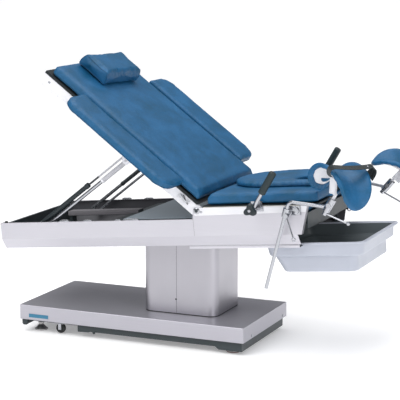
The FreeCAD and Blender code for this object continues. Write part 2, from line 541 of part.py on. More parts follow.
# ---------------------------------------------------------------- hand grips (world coordinates)
clamps = []
pivot_g = Vector(422.5, 0, 627)
gdir = Vector(0.497, 0, 0.868)
gdir.normalize()
for side, s in (("near", -1), ("far", 1)):
    yg = s * D["grip_y"]
    gx, gz = (pivot_g.x, pivot_g.z) if s < 0 else (pivot_g.x + val("far_grip_shift"), pivot_g.z + 0.0935 * val(
        "far_grip_shift"))
    pl = Placement(Vector(gx, yg, gz), Rotation(Vector(0, 0, 1), gdir))
    boss = cyl((0, -9, 0), "y", 15, 18, side + "_grip_boss")
    neck = cone((0, 0, 6), (0, 0, 1), 9, 8, 34, side + "_grip_neck")
    stem = cyl((0, 0, 38), "z", 8, 132, side + "_grip_stem_rod")
    bore = cyl((0, -12, 0), "y", 6.05, 24, side + "_grip_bore")
    node(side + "_grip_stem", cut(fuse([boss, neck, stem], side + "_grip_stem_solid"), bore, side + "_grip_stem"),
         pl)
    handle = cut(cyl((0, 0, 75), "z", "grip_rad", "grip_len", side + "_grip_block"),
                 cyl((0, 0, 70), "z", 8, 100.2, side + "_grip_hole"), side + "_grip_handle")
    node(side + "_grip_handle", handle, pl)
    # lobed clamping knob on the pivot screw
    ky = yg + s * 10
    lobes = []
    for k in range(3):
        a = math.radians(90 + 120 * k)
        lobes.append(cyl((gx + 16 * math.cos(a), ky if s > 0 else ky - 22, gz + 16 * math.sin(a)), "y",
                         11, 22, side + "_knob_lobe"))
    lobes.append(cyl((gx, ky if s > 0 else ky - 22, gz), "y", 15, 22, side + "_knob_hub"))
    lobes.append(cyl((gx, yg - 26 if s > 0 else yg - 12, gz), "y", 6, 38, side + "_knob_screw"))
    node(side + "_grip_knob", fuse(lobes, side + "_grip_knob"))

# brackets and rail clamps, fixed to the seat side panels (top frame)
inv = TOP.inverse()
pg = inv.multVec(pivot_g)
RODQ = Vector(563.5, -335, 664)
ROD_A = Vector(474, -335, 315)
ROD_D = Vector(728, -371.5, 661)
ax1 = RODQ.sub(ROD_A)
ax1.normalize()
SWIV = ROD_A.add(Vector(ax1).multiply((620.0 - 315.0) / ax1.z))
ax1 = RODQ.sub(ROD_A)
ax1.normalize()
sw = inv.multVec(SWIV)
for s in (-1, 1):
    pg = inv.multVec(Vector(pivot_g.x, 0, pivot_g.z))
    pg.x += val("far_grip_shift") / math.cos(math.radians(D["top_tilt"])) if s > 0 else 0
    plate_b = box(pg.x - 24, 300.3 if s > 0 else -306.3, pg.z - 16, 48, 6, 40, "grip_bracket_plate")
    arm_b = cyl((pg.x, 300.3 if s > 0 else -340, pg.z), "y", 14, 39.7, "grip_bracket_arm")
    bore_b = cyl((pg.x, -400, pg.z), "y", 6.05, 800, "grip_bracket_bore")
    clamps.append(cut(fuse([plate_b, arm_b], "grip_bracket"), bore_b, "grip_bracket_done"))
    jaw = box(sw.x - 16, 300.3 if s > 0 else -312.3, sw.z - 14, 66, 12, 36, "jaw")
    boss_c = cyl((sw.x, 300.3 if s > 0 else -319, sw.z), "y", 15, 18.7, "jaw_boss")
    boss_d = cyl((sw.x + 32, 300.3 if s > 0 else -318.6, sw.z + 4), "y", 14, 18.3, "jaw_screw")
    bore_c = cyl((sw.x, -320 if s < 0 else 306, sw.z), "y", 6.05, 14, "jaw_bore")
    clamps.append(cut(fuse([jaw, boss_c, boss_d], "rail_clamp"), bore_c, "rail_clamp_done"))
node("accessory_clamps", group(clamps, "accessory_clamps"), TOP)


# ---------------------------------------------------------------- leg supports (world coordinates)
def mirror(v, s):
    return Vector(v.x, v.y * (1 if s < 0 else -1), v.z)


def bent_rod(a, q, d, bend, r):
    u = q.sub(a)
    u.normalize()
    w = d.sub(q)
    w.normalize()
    turn = math.acos(max(-1, min(1, u.dot(w))))
    back = bend * math.tan(turn / 2)
    p1 = q.sub(Vector(u).multiply(back))
    p2 = q.add(Vector(w).multiply(back))
    bis = Vector(w).sub(u)
    bis.normalize()
    c = q.add(bis.multiply(bend / math.cos(turn / 2)))
    mid = q.sub(c)
    mid.normalize()
    mid = c.add(mid.multiply(bend))
    wire = Part.Wire([Part.LineSegment(a, p1).toShape(), Part.Arc(p1, mid, p2).toShape(),
                      Part.LineSegment(p2, d).toShape()])
    prof = Part.Wire([Part.Circle(a, u, r).toShape()])
    return wire.makePipeShell([prof], True, True), p2


BLOCK = Vector(743, -375, 670)
BDIR = Vector(0.4917, 0, 0.8707)
CR_O = Vector(756.1, -350.8, 644.4)
PHI, ROLL = math.radians(36.4), math.radians(3.2)
A0, A1 = -60.5, 81.0
TH0, TH1 = 70.8, 67.2


def saddle(inner, outer, trim, rows=13, cols=13):
    """Solid strip of a saddle: arched along x, hollow across y, with a rounded outline.
    inner and outer are radii offsets from the trough surface (positive toward the leg)."""
    R0, RU = D["arch_rad"], D["trough_rad"]
    am, da = (A0 + A1) / 2, (A1 - A0) / 2 * trim
    e = 2.0 / 1.93
    wires = []
    for i in range(rows):
        q = -0.965 + 1.93 * i / (rows - 1)
        a = math.radians(am + da * q)
        wide = (1 - abs(q) ** (2 / e)) ** (e / 2)
        k = (math.degrees(a) - A0) / (A1 - A0)
        th = math.radians((TH0 * (1 - k) + TH1 * k) * max(wide, 0.3) * trim)

        def p(t, off):
            ru = RU - off
            rr = R0 + RU - ru * math.cos(t)
            return Vector(math.sin(a) * rr, ru * math.sin(t), math.cos(a) * rr)
        arc1 = Part.Arc(p(-th, inner), p(0, inner), p(th, inner)).toShape()
        arc2 = Part.Arc(p(-th, outer), p(0, outer), p(th, outer)).toShape()
        wires.append(Part.Wire([arc1, Part.LineSegment(p(th, inner), p(th, outer)).toShape(), arc2,
                                Part.LineSegment(p(-th, outer), p(-th, inner)).toShape()]))
    return Part.makeLoft(wires, True, False)


shell_shape = saddle(-D["shell_thick"], 0.0, 0.985)
cover_shape = saddle(0.4, D["cover_thick"], 1.0)


def feature(n, shape):
    o = doc.addObject("Part::Feature", fresh(n))
    o.Shape = shape
    return o


for side, s in (("near", -1), ("far", 1)):
    g = Placement()
    if s > 0:
        c = mirror(SWIV, s)
        g = Placement(c, Rotation(Vector(0, 1, 0), D["far_drop"])).multiply(Placement(Vector(0, 0, 0).sub(c),
                                                                                     Rotation()))
    a, q, d = mirror(ROD_A, s), mirror(RODQ, s), mirror(ROD_D, s)
    swv = mirror(SWIV, s)
    shape, p2 = bent_rod(a, q, d, 26, D["rod_rad"])
    bar = feature(side + "_bar", shape)
    u = q.sub(a)
    u.normalize()
    holder = cyl(tuple(swv.sub(Vector(u).multiply(17))), tuple(u), 13.5, 34, side + "_swivel")
    rod_hole = cyl(tuple(swv.sub(Vector(u).multiply(30))), tuple(u), "rod_rad+0.05", 60, side + "_rod_hole")
    lvx, lvz = swv.x + 9, swv.z - 9
    lug = cyl((lvx, swv.y - 15 if s < 0 else swv.y + 8, lvz), "y", 9, 7, side + "_swivel_lug")
    lug_hole = cyl((lvx, swv.y - 20 if s < 0 else swv.y + 9, lvz), "y", 4.05, 11, side + "_lug_hole")
    trun = cyl((swv.x, swv.y - (12 if s > 0 else -1.5) - 14.5 * (0 if s < 0 else 1), swv.z), "y", 6, 25,
               side + "_swivel_pin")
    if s < 0:
        trun.Placement.Base = Vector(swv.x, swv.y + 9, swv.z)
        trun.Height = 19
    else:
        trun.Placement.Base = Vector(swv.x, swv.y - 28, swv.z)
        trun.Height = 19
    collar = cyl((swv.x, swv.y + 12 if s < 0 else swv.y - 15.5, swv.z), "y", 13, 3.5, side + "_swivel_collar")
    node(side + "_rod_swivel", cut(fuse([holder, trun, collar, lug], side + "_swivel_solid"), [rod_hole, lug_hole],
                                   side + "_rod_swivel"), g)
    node(side + "_crutch_rod", bar, g)

    bl = mirror(BLOCK, s)
    e = Vector(BDIR.x, 0, BDIR.z)
    e.normalize()
    half = D["block_len"] / 2
    start = bl.sub(Vector(e).multiply(half))
    blk = fuse([cyl(tuple(start), tuple(e), "block_rad", "block_len", side + "_block_round"),
                cyl((bl.x, bl.y - 18, bl.z), "y", 9, 36, side + "_block_boss")], side + "_block_solid")
    wdir = d.sub(q)
    wdir.normalize()
    rb = cyl(tuple(d.sub(Vector(wdir).multiply(60))), tuple(wdir), "rod_rad+0.05", 60.3, side + "_block_bore")
    sb = cyl(tuple(bl.add(Vector(e).multiply(4))), tuple(e), 6.05, 60, side + "_stub_bore")
    lbore = cyl(tuple(start.sub(Vector(e).multiply(1))), tuple(e), 4.05, 12, side + "_lever_bore")
    node(side + "_crutch_block", cut(blk, [rb, sb, lbore], side + "_crutch_block"), g)

    # locking lever under the block
    lp = start.sub(Vector(e).multiply(16))
    sleeve_l = cyl(tuple(lp.add(Vector(e).multiply(0))), tuple(e), 9, 15.6, side + "_lever_hub")
    screw_l = cyl(tuple(lp.add(Vector(e).multiply(4))), tuple(e), 4, 22, side + "_lever_screw")
    tip = mirror(Vector(823, -392, 607), s)
    ldir = tip.sub(lp)
    ldir.normalize()
    arm = rod(tuple(lp.add(Vector(e).multiply(6)).add(Vector(ldir).multiply(5))), tuple(tip), 3.5, side + "_arm")
    ball = doc.addObject("Part::Sphere", fresh(side + "_lever_ball"))
    ball.Radius = 7
    ball.Placement = Placement(tip, Rotation())
    node(side + "_block_lever", fuse([sleeve_l, screw_l, arm, ball], side + "_block_lever"), g)

    # lever of the rail clamp
    lv = Vector(lvx, swv.y + (-20 if s < 0 else 20), lvz)
    lever_pin = cyl((lvx, swv.y - 24 if s < 0 else swv.y + 9.5, lvz), "y", 4, 14.5, side + "_clamp_pin")
    lv_tip = Vector(597, s * 372, 533)
    hub = cyl((lv.x, lv.y - (5 if s < 0 else 3), lv.z), "y", 8, 8, side + "_clamp_hub")
    arm2 = rod((lv.x, lv.y, lv.z), tuple(lv_tip), 3, side + "_clamp_arm")
    loop = doc.addObject("Part::Torus", fresh(side + "_clamp_loop"))
    loop.Radius1, loop.Radius2 = 6.5, 2.5
    loop.Placement = Placement(Vector(lv_tip.x + 2.5, lv_tip.y, lv_tip.z - 8), Rotation(Vector(0, 0, 1),
                                                                                       Vector(0, 1, 0)))
    node(side + "_clamp_lever", fuse([hub, arm2, loop, lever_pin], side + "_clamp_lever"), g)

    # knee crutch
    o = mirror(CR_O, s)
    L = Vector(math.cos(PHI), s * math.sin(PHI), 0)
    W0 = Vector(-s * math.sin(PHI), math.cos(PHI), 0)
    Z = Vector(0, 0, 1)
    rr = -ROLL if s < 0 else ROLL
    W = Vector(W0).multiply(math.cos(rr)).add(Vector(Z).multiply(math.sin(rr)))
    Zr = Vector(Z).multiply(math.cos(rr)).sub(Vector(W0).multiply(math.sin(rr)))
    CR = Placement(Matrix(L.x, W.x, Zr.x, o.x, L.y, W.y, Zr.y, o.y, L.z, W.z, Zr.z, o.z, 0, 0, 0, 1))
    if s > 0:
        # the far crutch is turned on its block and leans toward the seat, its toe end low
        swing = Placement(bl, Rotation(Vector(1, 0, 0), D["far_lean"]).multiply(
            Rotation(Vector(0, 1, 0), D["far_pitch"])).multiply(Rotation(e, D["far_swing"])))
        CR = swing.multiply(Placement(Vector(0, 0, 0).sub(bl), Rotation())).multiply(CR)
    CR = g.multiply(CR)
    node(side + "_crutch_shell", feature(side + "_crutch_shell", shell_shape.copy()), CR)
    node(side + "_crutch_cover", feature(side + "_crutch_cover", cover_shape.copy()), CR)
    # white bracket plate under the shell with the chrome stub that enters the block
    local = CR.inverse()
    plate_c = box(-8, -26 if s < 0 else 18, 68, 38, 8, 61, side + "_bracket_plate")
    p_lo = local.multVec(g.multVec(bl.add(Vector(e).multiply(8))))
    p_hi = Vector(11, -22 if s < 0 else 22, 74)
    stub_d = local.Rotation.multVec(g.Rotation.multVec(e))
    stub = cyl(tuple(p_lo), tuple(stub_d), 6, 44, side + "_stub")
    p_top = p_lo.add(Vector(stub_d).multiply(44))
    link = rod(tuple(p_top.sub(Vector(stub_d).multiply(4))), tuple(p_hi), 6, side + "_stub_link")
    node(side + "_crutch_bracket", fuse([plate_c, stub, link], side + "_crutch_bracket"), CR)

doc.recompute()

# ---------------------------------------------------------------- check and write
bad = []
for o in doc.Objects:
    st = [str(x) for x in o.State]
    if "Invalid" in st or "Error" in st:
        bad.append((o.Name, o.Label, st))
for o in NODES:
    if o.Shape.isNull() or not o.Shape.isValid():
        bad.append((o.Name, o.Label, "shape"))
if bad:
    for b in bad:
        print("BAD", b)
    raise SystemExit("model has failed objects")
labels = [o.Label for o in NODES]
assert len(labels) == len(set(labels)) and len(labels) <= 60, (len(labels), labels)
for o in NODES:
    o.Shape.exportStep("parts/%s.step" % o.Label)
    b = o.Shape.BoundBox
    print("%-22s solids %d  vol %.0f  [%.1f %.1f] [%.1f %.1f] [%.1f %.1f]" % (
        o.Label, len(o.Shape.Solids), o.Shape.Volume, b.XMin, b.XMax, b.YMin, b.YMax, b.ZMin, b.ZMax))
print("nodes", len(NODES), "strut angle", strut_angle, "length", SL, "upper pivot", tuple(TOP.multVec(U)))
print("swivel", tuple(SWIV), "frame eye", tuple(frame_eye), "tilt dir", tuple(tilt_dir), "hinge", tuple(hinge_world))
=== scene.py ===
import bpy
import bmesh
import math
import numpy as np
from mathutils import Vector, Matrix, noise
from mathutils.bvhtree import BVHTree

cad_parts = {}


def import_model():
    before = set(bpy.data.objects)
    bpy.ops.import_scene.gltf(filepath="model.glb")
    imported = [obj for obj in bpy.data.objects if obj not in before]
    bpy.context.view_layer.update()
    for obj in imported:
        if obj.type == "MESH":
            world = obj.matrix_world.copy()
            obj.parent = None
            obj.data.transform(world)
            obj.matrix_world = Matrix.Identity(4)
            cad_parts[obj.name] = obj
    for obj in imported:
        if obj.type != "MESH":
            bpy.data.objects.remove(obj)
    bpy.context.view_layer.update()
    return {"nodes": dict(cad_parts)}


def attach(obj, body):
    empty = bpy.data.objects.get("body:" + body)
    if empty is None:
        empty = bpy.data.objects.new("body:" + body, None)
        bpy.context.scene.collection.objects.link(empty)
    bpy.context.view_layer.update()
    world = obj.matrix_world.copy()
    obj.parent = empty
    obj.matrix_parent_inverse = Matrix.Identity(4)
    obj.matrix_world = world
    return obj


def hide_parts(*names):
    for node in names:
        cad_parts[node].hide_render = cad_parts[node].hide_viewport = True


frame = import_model()
NODES = frame["nodes"]


scene = bpy.context.scene

# ---------------------------------------------------------------- camera
cam_data = bpy.data.cameras.new("photo_camera")
cam_data.lens = 138.3
cam_data.sensor_width = 36.0
cam_data.clip_end = 400
cam = bpy.data.objects.new("photo_camera", cam_data)
cam.rotation_euler = (math.radians(80.075), 0, math.radians(23.462))
cam.location = (2.568, -5.808, 1.689)
scene.collection.objects.link(cam)
scene.camera = cam

# ---------------------------------------------------------------- frames of the parts, millimetres to metres
TILT = math.radians(5.344)
TOPM = Matrix.Translation((0, 0, 0.4356)) @ Matrix.Rotation(-TILT, 4, "Y")
HINGE = TOPM @ Vector((0.177, 0, 0.1425))
BACKM = Matrix.Translation(HINGE) @ Matrix.Rotation(math.radians(36.6), 4, "Y")
WORLD = Matrix.Identity(4)


def mm(*v):
    return Vector((v[0] / 1000, v[1] / 1000, v[2] / 1000))


# ---------------------------------------------------------------- materials
class Mat:
    """Small builder for procedural materials in object coordinates (metres)."""

    def __init__(self, name, metallic=0.0, rough=0.5, spec=0.5, coat=0.0, coat_rough=0.1, sheen=0.0):
        self.m = bpy.data.materials.new(name)
        self.m.use_nodes = True
        self.t = self.m.node_tree
        self.b = self.t.nodes["Principled BSDF"]
        self.b.inputs["Metallic"].default_value = metallic
        self.b.inputs["Roughness"].default_value = rough
        self.b.inputs["Specular IOR Level"].default_value = spec
        self.b.inputs["Coat Weight"].default_value = coat
        self.b.inputs["Coat Roughness"].default_value = coat_rough
        self.b.inputs["Sheen Weight"].default_value = sheen
        self.co = self.t.nodes.new("ShaderNodeTexCoord").outputs["Object"]
        self.height = None

    def link(self, a, b):
        self.t.links.new(a, b)

    def mapped(self, scale, rot=(0, 0, 0)):
        n = self.t.nodes.new("ShaderNodeMapping")
        n.inputs["Scale"].default_value = scale
        n.inputs["Rotation"].default_value = rot
        self.link(self.co, n.inputs["Vector"])
        return n.outputs["Vector"]

    def noise(self, scale, detail=3.0, rough=0.5, vec=None, distort=0.0):
        n = self.t.nodes.new("ShaderNodeTexNoise")
        n.inputs["Scale"].default_value = scale
        n.inputs["Detail"].default_value = detail
        n.inputs["Roughness"].default_value = rough
        n.inputs["Distortion"].default_value = distort
        self.link(vec or self.co, n.inputs["Vector"])
        return n.outputs["Fac"]

    def cells(self, scale, vec=None, feature="F1", rand=1.0):
        n = self.t.nodes.new("ShaderNodeTexVoronoi")
        n.feature = feature
        n.inputs["Scale"].default_value = scale
        n.inputs["Randomness"].default_value = rand
        self.link(vec or self.co, n.inputs["Vector"])
        return n.outputs["Distance"]

    def wave(self, scale, direction="X", vec=None, distort=0.0):
        n = self.t.nodes.new("ShaderNodeTexWave")
        n.wave_type = "BANDS"
        n.bands_direction = direction
        n.inputs["Scale"].default_value = scale
        n.inputs["Distortion"].default_value = distort
        self.link(vec or self.co, n.inputs["Vector"])
        return n.outputs["Fac"]

    def span(self, fac, lo, hi, a=0.0, b=1.0):
        n = self.t.nodes.new("ShaderNodeMapRange")
        n.inputs["From Min"].default_value = lo
        n.inputs["From Max"].default_value = hi
        n.inputs["To Min"].default_value = a
        n.inputs["To Max"].default_value = b
        self.link(fac, n.inputs["Value"])
        return n.outputs["Result"]

    def ramp(self, fac, stops):
        n = self.t.nodes.new("ShaderNodeValToRGB")
        e = n.color_ramp.elements
        while len(e) < len(stops):
            e.new(0.5)
        for el, (p, c) in zip(e, stops):
            el.position = p
            el.color = (*c, 1)
        self.link(fac, n.inputs["Fac"])
        return n.outputs["Color"]

    def mix(self, fac, a, b, kind="MIX"):
        n = self.t.nodes.new("ShaderNodeMix")
        n.data_type = "RGBA"
        n.blend_type = kind
        if hasattr(fac, "links"):
            self.link(fac, n.inputs[0])
        else:
            n.inputs[0].default_value = fac
        for sock, v in ((n.inputs[6], a), (n.inputs[7], b)):
            if hasattr(v, "links"):
                self.link(v, sock)
            else:
                sock.default_value = (*v, 1)
        return n.outputs[2]

    def math(self, op, a, b=0.5):
        n = self.t.nodes.new("ShaderNodeMath")
        n.operation = op
        for sock, v in zip(n.inputs, (a, b)):
            if hasattr(v, "links"):
                self.link(v, sock)
            else:
                sock.default_value = v
        return n.outputs[0]

    def axis(self, which, geometry=False):
        n = self.t.nodes.new("ShaderNodeSeparateXYZ")
        if geometry:
            g = self.t.nodes.new("ShaderNodeNewGeometry")
            self.link(g.outputs["Normal"], n.inputs[0])
        else:
            self.link(self.co, n.inputs[0])
        return n.outputs["XYZ".index(which)]

    def pointed(self):
        g = self.t.nodes.new("ShaderNodeNewGeometry")
        return g.outputs["Pointiness"]

    def bump(self, fac, strength, distance):
        n = self.t.nodes.new("ShaderNodeBump")
        n.inputs["Strength"].default_value = strength
        n.inputs["Distance"].default_value = distance
        self.link(fac, n.inputs["Height"])
        if self.height is not None:
            self.link(self.height, n.inputs["Normal"])
        self.height = n.outputs["Normal"]
        self.link(self.height, self.b.inputs["Normal"])

    def colour(self, c):
        if hasattr(c, "links"):
            self.link(c, self.b.inputs["Base Color"])
        else:
            self.b.inputs["Base Color"].default_value = (*c, 1)

    def roughness(self, fac):
        self.link(fac, self.b.inputs["Roughness"])


def scaled(c, k):
    return tuple(min(1.0, x * k) for x in c)


def brushed(name, base, along, rough=0.33, metallic=1.0, streak=0.08):
    m = Mat(name, metallic=metallic, rough=rough)
    fine = {"x": (3, 420, 420), "y": (420, 3, 420), "z": (420, 420, 3)}[along]
    s = m.noise(1.0, 2.0, 0.6, m.mapped(fine))
    long = {"x": (0.8, 60, 60), "y": (60, 0.8, 60), "z": (60, 60, 0.8)}[along]
    s2 = m.noise(1.0, 3.0, 0.6, m.mapped(long))
    cloud = m.noise(5.0, 4.0, 0.55)
    both = m.math("ADD", m.math("MULTIPLY", s, 0.6), m.math("MULTIPLY", s2, 0.4))
    m.colour(m.ramp(both, [(0.25, scaled(base, 1 - streak)), (0.55, base), (0.8, scaled(base, 1 + streak))]))
    r = m.math("ADD", m.span(both, 0.3, 0.7, rough - 0.06, rough + 0.06), m.span(cloud, 0.3, 0.7, -0.03, 0.04))
    m.roughness(r)
    m.bump(s, 0.12, 0.0002)
    return m.m


def vinyl(name, k=1.0, shift=0.0):
    m = Mat(name, rough=0.45, spec=0.32, sheen=0.0)
    cloud = m.noise(13.0, 5.0, 0.62, distort=0.6)
    patch = m.noise(4.2, 3.0, 0.5)
    f = m.math("ADD", m.math("MULTIPLY", cloud, 0.65), m.math("MULTIPLY", patch, 0.35))
    base = m.ramp(f, [(0.30, scaled((0.0050, 0.0714, 0.1410), k)), (0.46, scaled((0.0081, 0.0898, 0.2021), k)),
                      (0.58, scaled((0.0124, 0.1081, 0.2491), k)), (0.75, scaled((0.0211, 0.1346, 0.2961), k))])
    fine = m.noise(160.0, 3.0, 0.6)
    m.colour(m.mix(m.span(fine, 0.35, 0.7, 0.0, 0.22), base, scaled((0.0050, 0.0561, 0.1175), k)))
    m.roughness(m.math("ADD", m.span(cloud, 0.3, 0.7, 0.40, 0.54), m.span(fine, 0.3, 0.7, -0.03, 0.03)))
    m.bump(m.noise(22.0, 4.0, 0.55, distort=0.4), 0.35, 0.0016)
    m.bump(m.cells(620.0), 0.28, 0.00035)
    m.bump(m.noise(1400.0, 2.0, 0.6), 0.12, 0.0002)
    return m.m


def painted(name, base, rough=0.35, dirt=(0.5, 0.5, 0.5), amount=0.06, peel=0.10, spec=0.5, metallic=0.0, coat=0.0):
    m = Mat(name, rough=rough, spec=spec, metallic=metallic, coat=coat)
    cloud = m.noise(7.0, 5.0, 0.6)
    c = m.mix(m.span(cloud, 0.4, 0.8, 0.0, amount), base, dirt)
    edge = m.span(m.pointed(), 0.52, 0.60, 0.0, 0.35)
    c = m.mix(edge, c, scaled(tuple(x + 0.05 for x in base), 1.15))
    m.colour(c)
    m.roughness(m.math("ADD", m.span(cloud, 0.3, 0.7, rough - 0.05, rough + 0.05),
                       m.span(m.noise(90.0, 3.0), 0.3, 0.7, -0.02, 0.02)))
    m.bump(m.noise(480.0, 2.0, 0.5), peel, 0.0003)
    return m.m


def chrome(name, base=(0.72, 0.73, 0.76), rough=0.14):
    m = Mat(name, metallic=1.0, rough=rough)
    hair = m.noise(1.0, 2.0, 0.6, m.mapped((900, 40, 900), (0.4, 0.2, 0.7)))
    smudge = m.noise(28.0, 4.0, 0.6)
    m.colour(m.ramp(smudge, [(0.3, scaled(base, 0.9)), (0.7, base)]))
    m.roughness(m.math("ADD", m.span(smudge, 0.35, 0.7, rough - 0.04, rough + 0.10),
                       m.span(hair, 0.4, 0.7, 0.0, 0.05)))
    m.bump(hair, 0.04, 0.0001)
    return m.m


def moulded(name, base, rough=0.38, spec=0.45, grain=420.0, depth=0.15):
    m = Mat(name, rough=rough, spec=spec)
    cloud = m.noise(9.0, 4.0, 0.6)
    fine = m.noise(grain, 2.0, 0.6)
    c = m.mix(m.span(cloud, 0.35, 0.7, 0.0, 0.30), base, scaled(base, 0.82))
    edge = m.span(m.pointed(), 0.52, 0.62, 0.0, 0.4)
    m.colour(m.mix(edge, c, scaled(tuple(x + 0.02 for x in base), 1.25)))
    m.roughness(m.math("ADD", m.span(cloud, 0.3, 0.7, rough - 0.05, rough + 0.06),
                       m.span(fine, 0.3, 0.7, -0.03, 0.03)))
    m.bump(fine, depth, 0.0003)
    return m.m


def woven(name, base):
    m = Mat(name, rough=0.75, spec=0.25, sheen=0.15)
    w = m.math("MULTIPLY", m.wave(330.0, "DIAGONAL"), m.wave(330.0, "Z"))
    m.colour(m.mix(m.span(w, 0.0, 1.0, 0.0, 0.5), base, scaled(tuple(x + 0.01 for x in base), 1.8)))
    m.bump(w, 0.5, 0.0005)
    return m.m


M = {
    "stainless_x": brushed("stainless_along", (0.47, 0.46, 0.505), "x", 0.38, metallic=0.55, streak=0.05),
    "stainless_z": brushed("stainless_upright", (0.44, 0.43, 0.465), "z", 0.38, streak=0.035),
    "stainless_y": brushed("stainless_across", (0.48, 0.56, 0.62), "y", 0.45, metallic=0.25, streak=0.04),
    "silver": brushed("satin_silver", (0.60, 0.59, 0.635), "x", 0.40, metallic=0.80, streak=0.04),
    "beam_in": painted("beam_inside", (0.085, 0.085, 0.095), 0.45, (0.04, 0.045, 0.05), 0.4, spec=0.35),
    "steel": brushed("turned_steel", (0.42, 0.43, 0.45), "z", 0.32),
    "white": painted("white_paint", (0.74, 0.74, 0.775), 0.33, (0.50, 0.48, 0.44), 0.08),
    "bar": painted("pale_bar_paint", (0.50, 0.50, 0.53), 0.36, (0.36, 0.36, 0.36), 0.15),
    "black": painted("black_paint", (0.010, 0.020, 0.024), 0.36, (0.045, 0.06, 0.065), 0.30, spec=0.45),
    "tray": painted("tray_black", (0.016, 0.026, 0.031), 0.42, (0.05, 0.06, 0.065), 0.35, spec=0.4),
    "tube": painted("tube_grey", (0.17, 0.16, 0.175), 0.40, (0.10, 0.10, 0.10), 0.25),
    "chrome": chrome("polished_chrome", (0.46, 0.47, 0.50), 0.15),
    "plated": chrome("plated_foot", (0.46, 0.45, 0.45), 0.28),
    "blue": vinyl("blue_vinyl"),
    # darker copy of the blue vinyl for the welts: painted shade along the seams
    "seam": vinyl("blue_vinyl_shaded_seam", 0.72),
    "board": moulded("black_board", (0.006, 0.010, 0.012), 0.50, spec=0.2, grain=260.0),
    "trim": moulded("board_trim", (0.50, 0.48, 0.44), 0.40),
    "plastic": moulded("black_plastic", (0.010, 0.018, 0.022), 0.42, depth=0.3),
    "foam": moulded("grip_foam", (0.012, 0.024, 0.027), 0.55, grain=700.0, depth=0.5),
    "basin": moulded("basin_grey", (0.44, 0.465, 0.535), 0.36, grain=600.0, depth=0.08),
    "basin_in": moulded("basin_inside", (0.105, 0.125, 0.135), 0.38, grain=600.0, depth=0.08),
    "shell": moulded("white_shell", (0.74, 0.74, 0.77), 0.30, grain=500.0, depth=0.06),
    "rubber": moulded("black_rubber", (0.016, 0.018, 0.018), 0.62, grain=300.0, depth=0.4),
    "plate": painted("teal_plate", (0.008, 0.15, 0.26), 0.30, (0.02, 0.10, 0.16), 0.2),
    "strap": woven("black_strap", (0.010, 0.016, 0.018)),
    "dark_rod": painted("dark_rod", (0.045, 0.05, 0.055), 0.30, (0.03, 0.03, 0.03), 0.2, metallic=0.6),
    "red": moulded("brown_foot", (0.17, 0.05, 0.045), 0.45),
}

CAD_LOOK = {
    "base_cover": "stainless_x", "base_frame": "black", "name_plate": "plate", "base_screws": "chrome",
    "levelling_feet": "plated", "near_castor_fork": "chrome", "far_castor_fork": "chrome",
    "near_castor_wheel": "rubber", "far_castor_wheel": "rubber", "column_lower_cover": "stainless_z",
    "column_upper_cover": "stainless_z", "column_mast": "steel", "lift_ram": "steel", "tilt_yoke": "black",
    "tilt_cylinder": "steel", "tilt_rod": "chrome", "near_side_beam": "silver", "far_side_beam": "silver",
    "frame_members": "tray", "cover_plate": "stainless_y", "seat_board": "board", "accessory_clamps": "chrome",
    "back_frame": "white", "back_board": "board", "back_release_lever": "chrome",
    "near_strut_sleeve": "bar", "near_strut_tube": "chrome", "far_strut_sleeve": "black",
    "far_strut_tube": "chrome", "leg_section_frame": "black",
}
for sd in ("near", "far"):
    CAD_LOOK.update({sd + "_grip_stem": "chrome", sd + "_rod_swivel": "chrome", sd + "_crutch_rod": "chrome",
                     sd + "_crutch_block": "chrome", sd + "_block_lever": "chrome", sd + "_clamp_lever": "chrome",
                     sd + "_crutch_shell": "shell", sd + "_crutch_bracket": "shell",
                     sd + "_grip_handle": "foam", sd + "_grip_knob": "plastic", sd + "_crutch_cover": "blue"})
for n in ("seat_cushion", "seat_ring_cushion", "back_cushion", "pillow", "near_side_pad", "far_side_pad",
          "leg_section_pad"):
    CAD_LOOK[n] = "blue"
CAD_LOOK["basin"] = "basin"
for n, o in NODES.items():
    o.data.materials.clear()
    o.data.materials.append(M[CAD_LOOK[n]])
for n, s in (("near_side_beam", -1), ("far_side_beam", 1)):
    me = NODES[n].data
    me.materials.append(M["beam_in"])
    for p in me.polygons:
        c = p.center
        if p.normal.y * s < -0.5 and abs(c.y) < 0.2985 and abs(c.y) > 0.262:
            p.material_index = 1


# ---------------------------------------------------------------- mesh helpers
def make(name, verts, faces, look, body, smooth=True, mats=None, face_mats=None, angle=None):
    me = bpy.data.meshes.new(name)
    me.from_pydata([tuple(v) for v in verts], [], faces)
    bm = bmesh.new()
    bm.from_mesh(me)
    bmesh.ops.remove_doubles(bm, verts=bm.verts, dist=1e-6)
    if not mats:
        bmesh.ops.recalc_face_normals(bm, faces=bm.faces)
    bm.to_mesh(me)
    bm.free()
    for k in (mats or [look]):
        me.materials.append(M[k])
    if face_mats:
        for p, i in zip(me.polygons, face_mats):
            p.material_index = i
    for p in me.polygons:
        p.use_smooth = smooth
    o = bpy.data.objects.new(name, me)
    scene.collection.objects.link(o)
    if angle is not None:
        split(o, angle)
    if body:
        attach(o, body)
    return o


def baked(o):
    """Mesh of the object with its modifiers applied."""
    bpy.context.view_layer.update()
    dg = bpy.context.evaluated_depsgraph_get()
    new = bpy.data.meshes.new_from_object(o.evaluated_get(dg), depsgraph=dg)
    o.modifiers.clear()
    old = o.data
    name = old.name
    o.data = new
    bpy.data.meshes.remove(old)
    new.name = name
    return o


def split(o, angle):
    me = o.data
    bm = bmesh.new()
    bm.from_mesh(me)
    lim = math.radians(angle)
    for e in bm.edges:
        if len(e.link_faces) == 2:
            e.smooth = e.calc_face_angle(0) < lim
    bm.to_mesh(me)
    bm.free()


def bevelled(o, width, segments=2, angle=35):
    b = o.modifiers.new("edge", "BEVEL")
    b.width = width
    b.segments = segments
    b.limit_method = "ANGLE"
    b.angle_limit = math.radians(angle)
    b.harden_normals = False
    baked(o)
    for p in o.data.polygons:
        p.use_smooth = True
    split(o, 40)
    return o


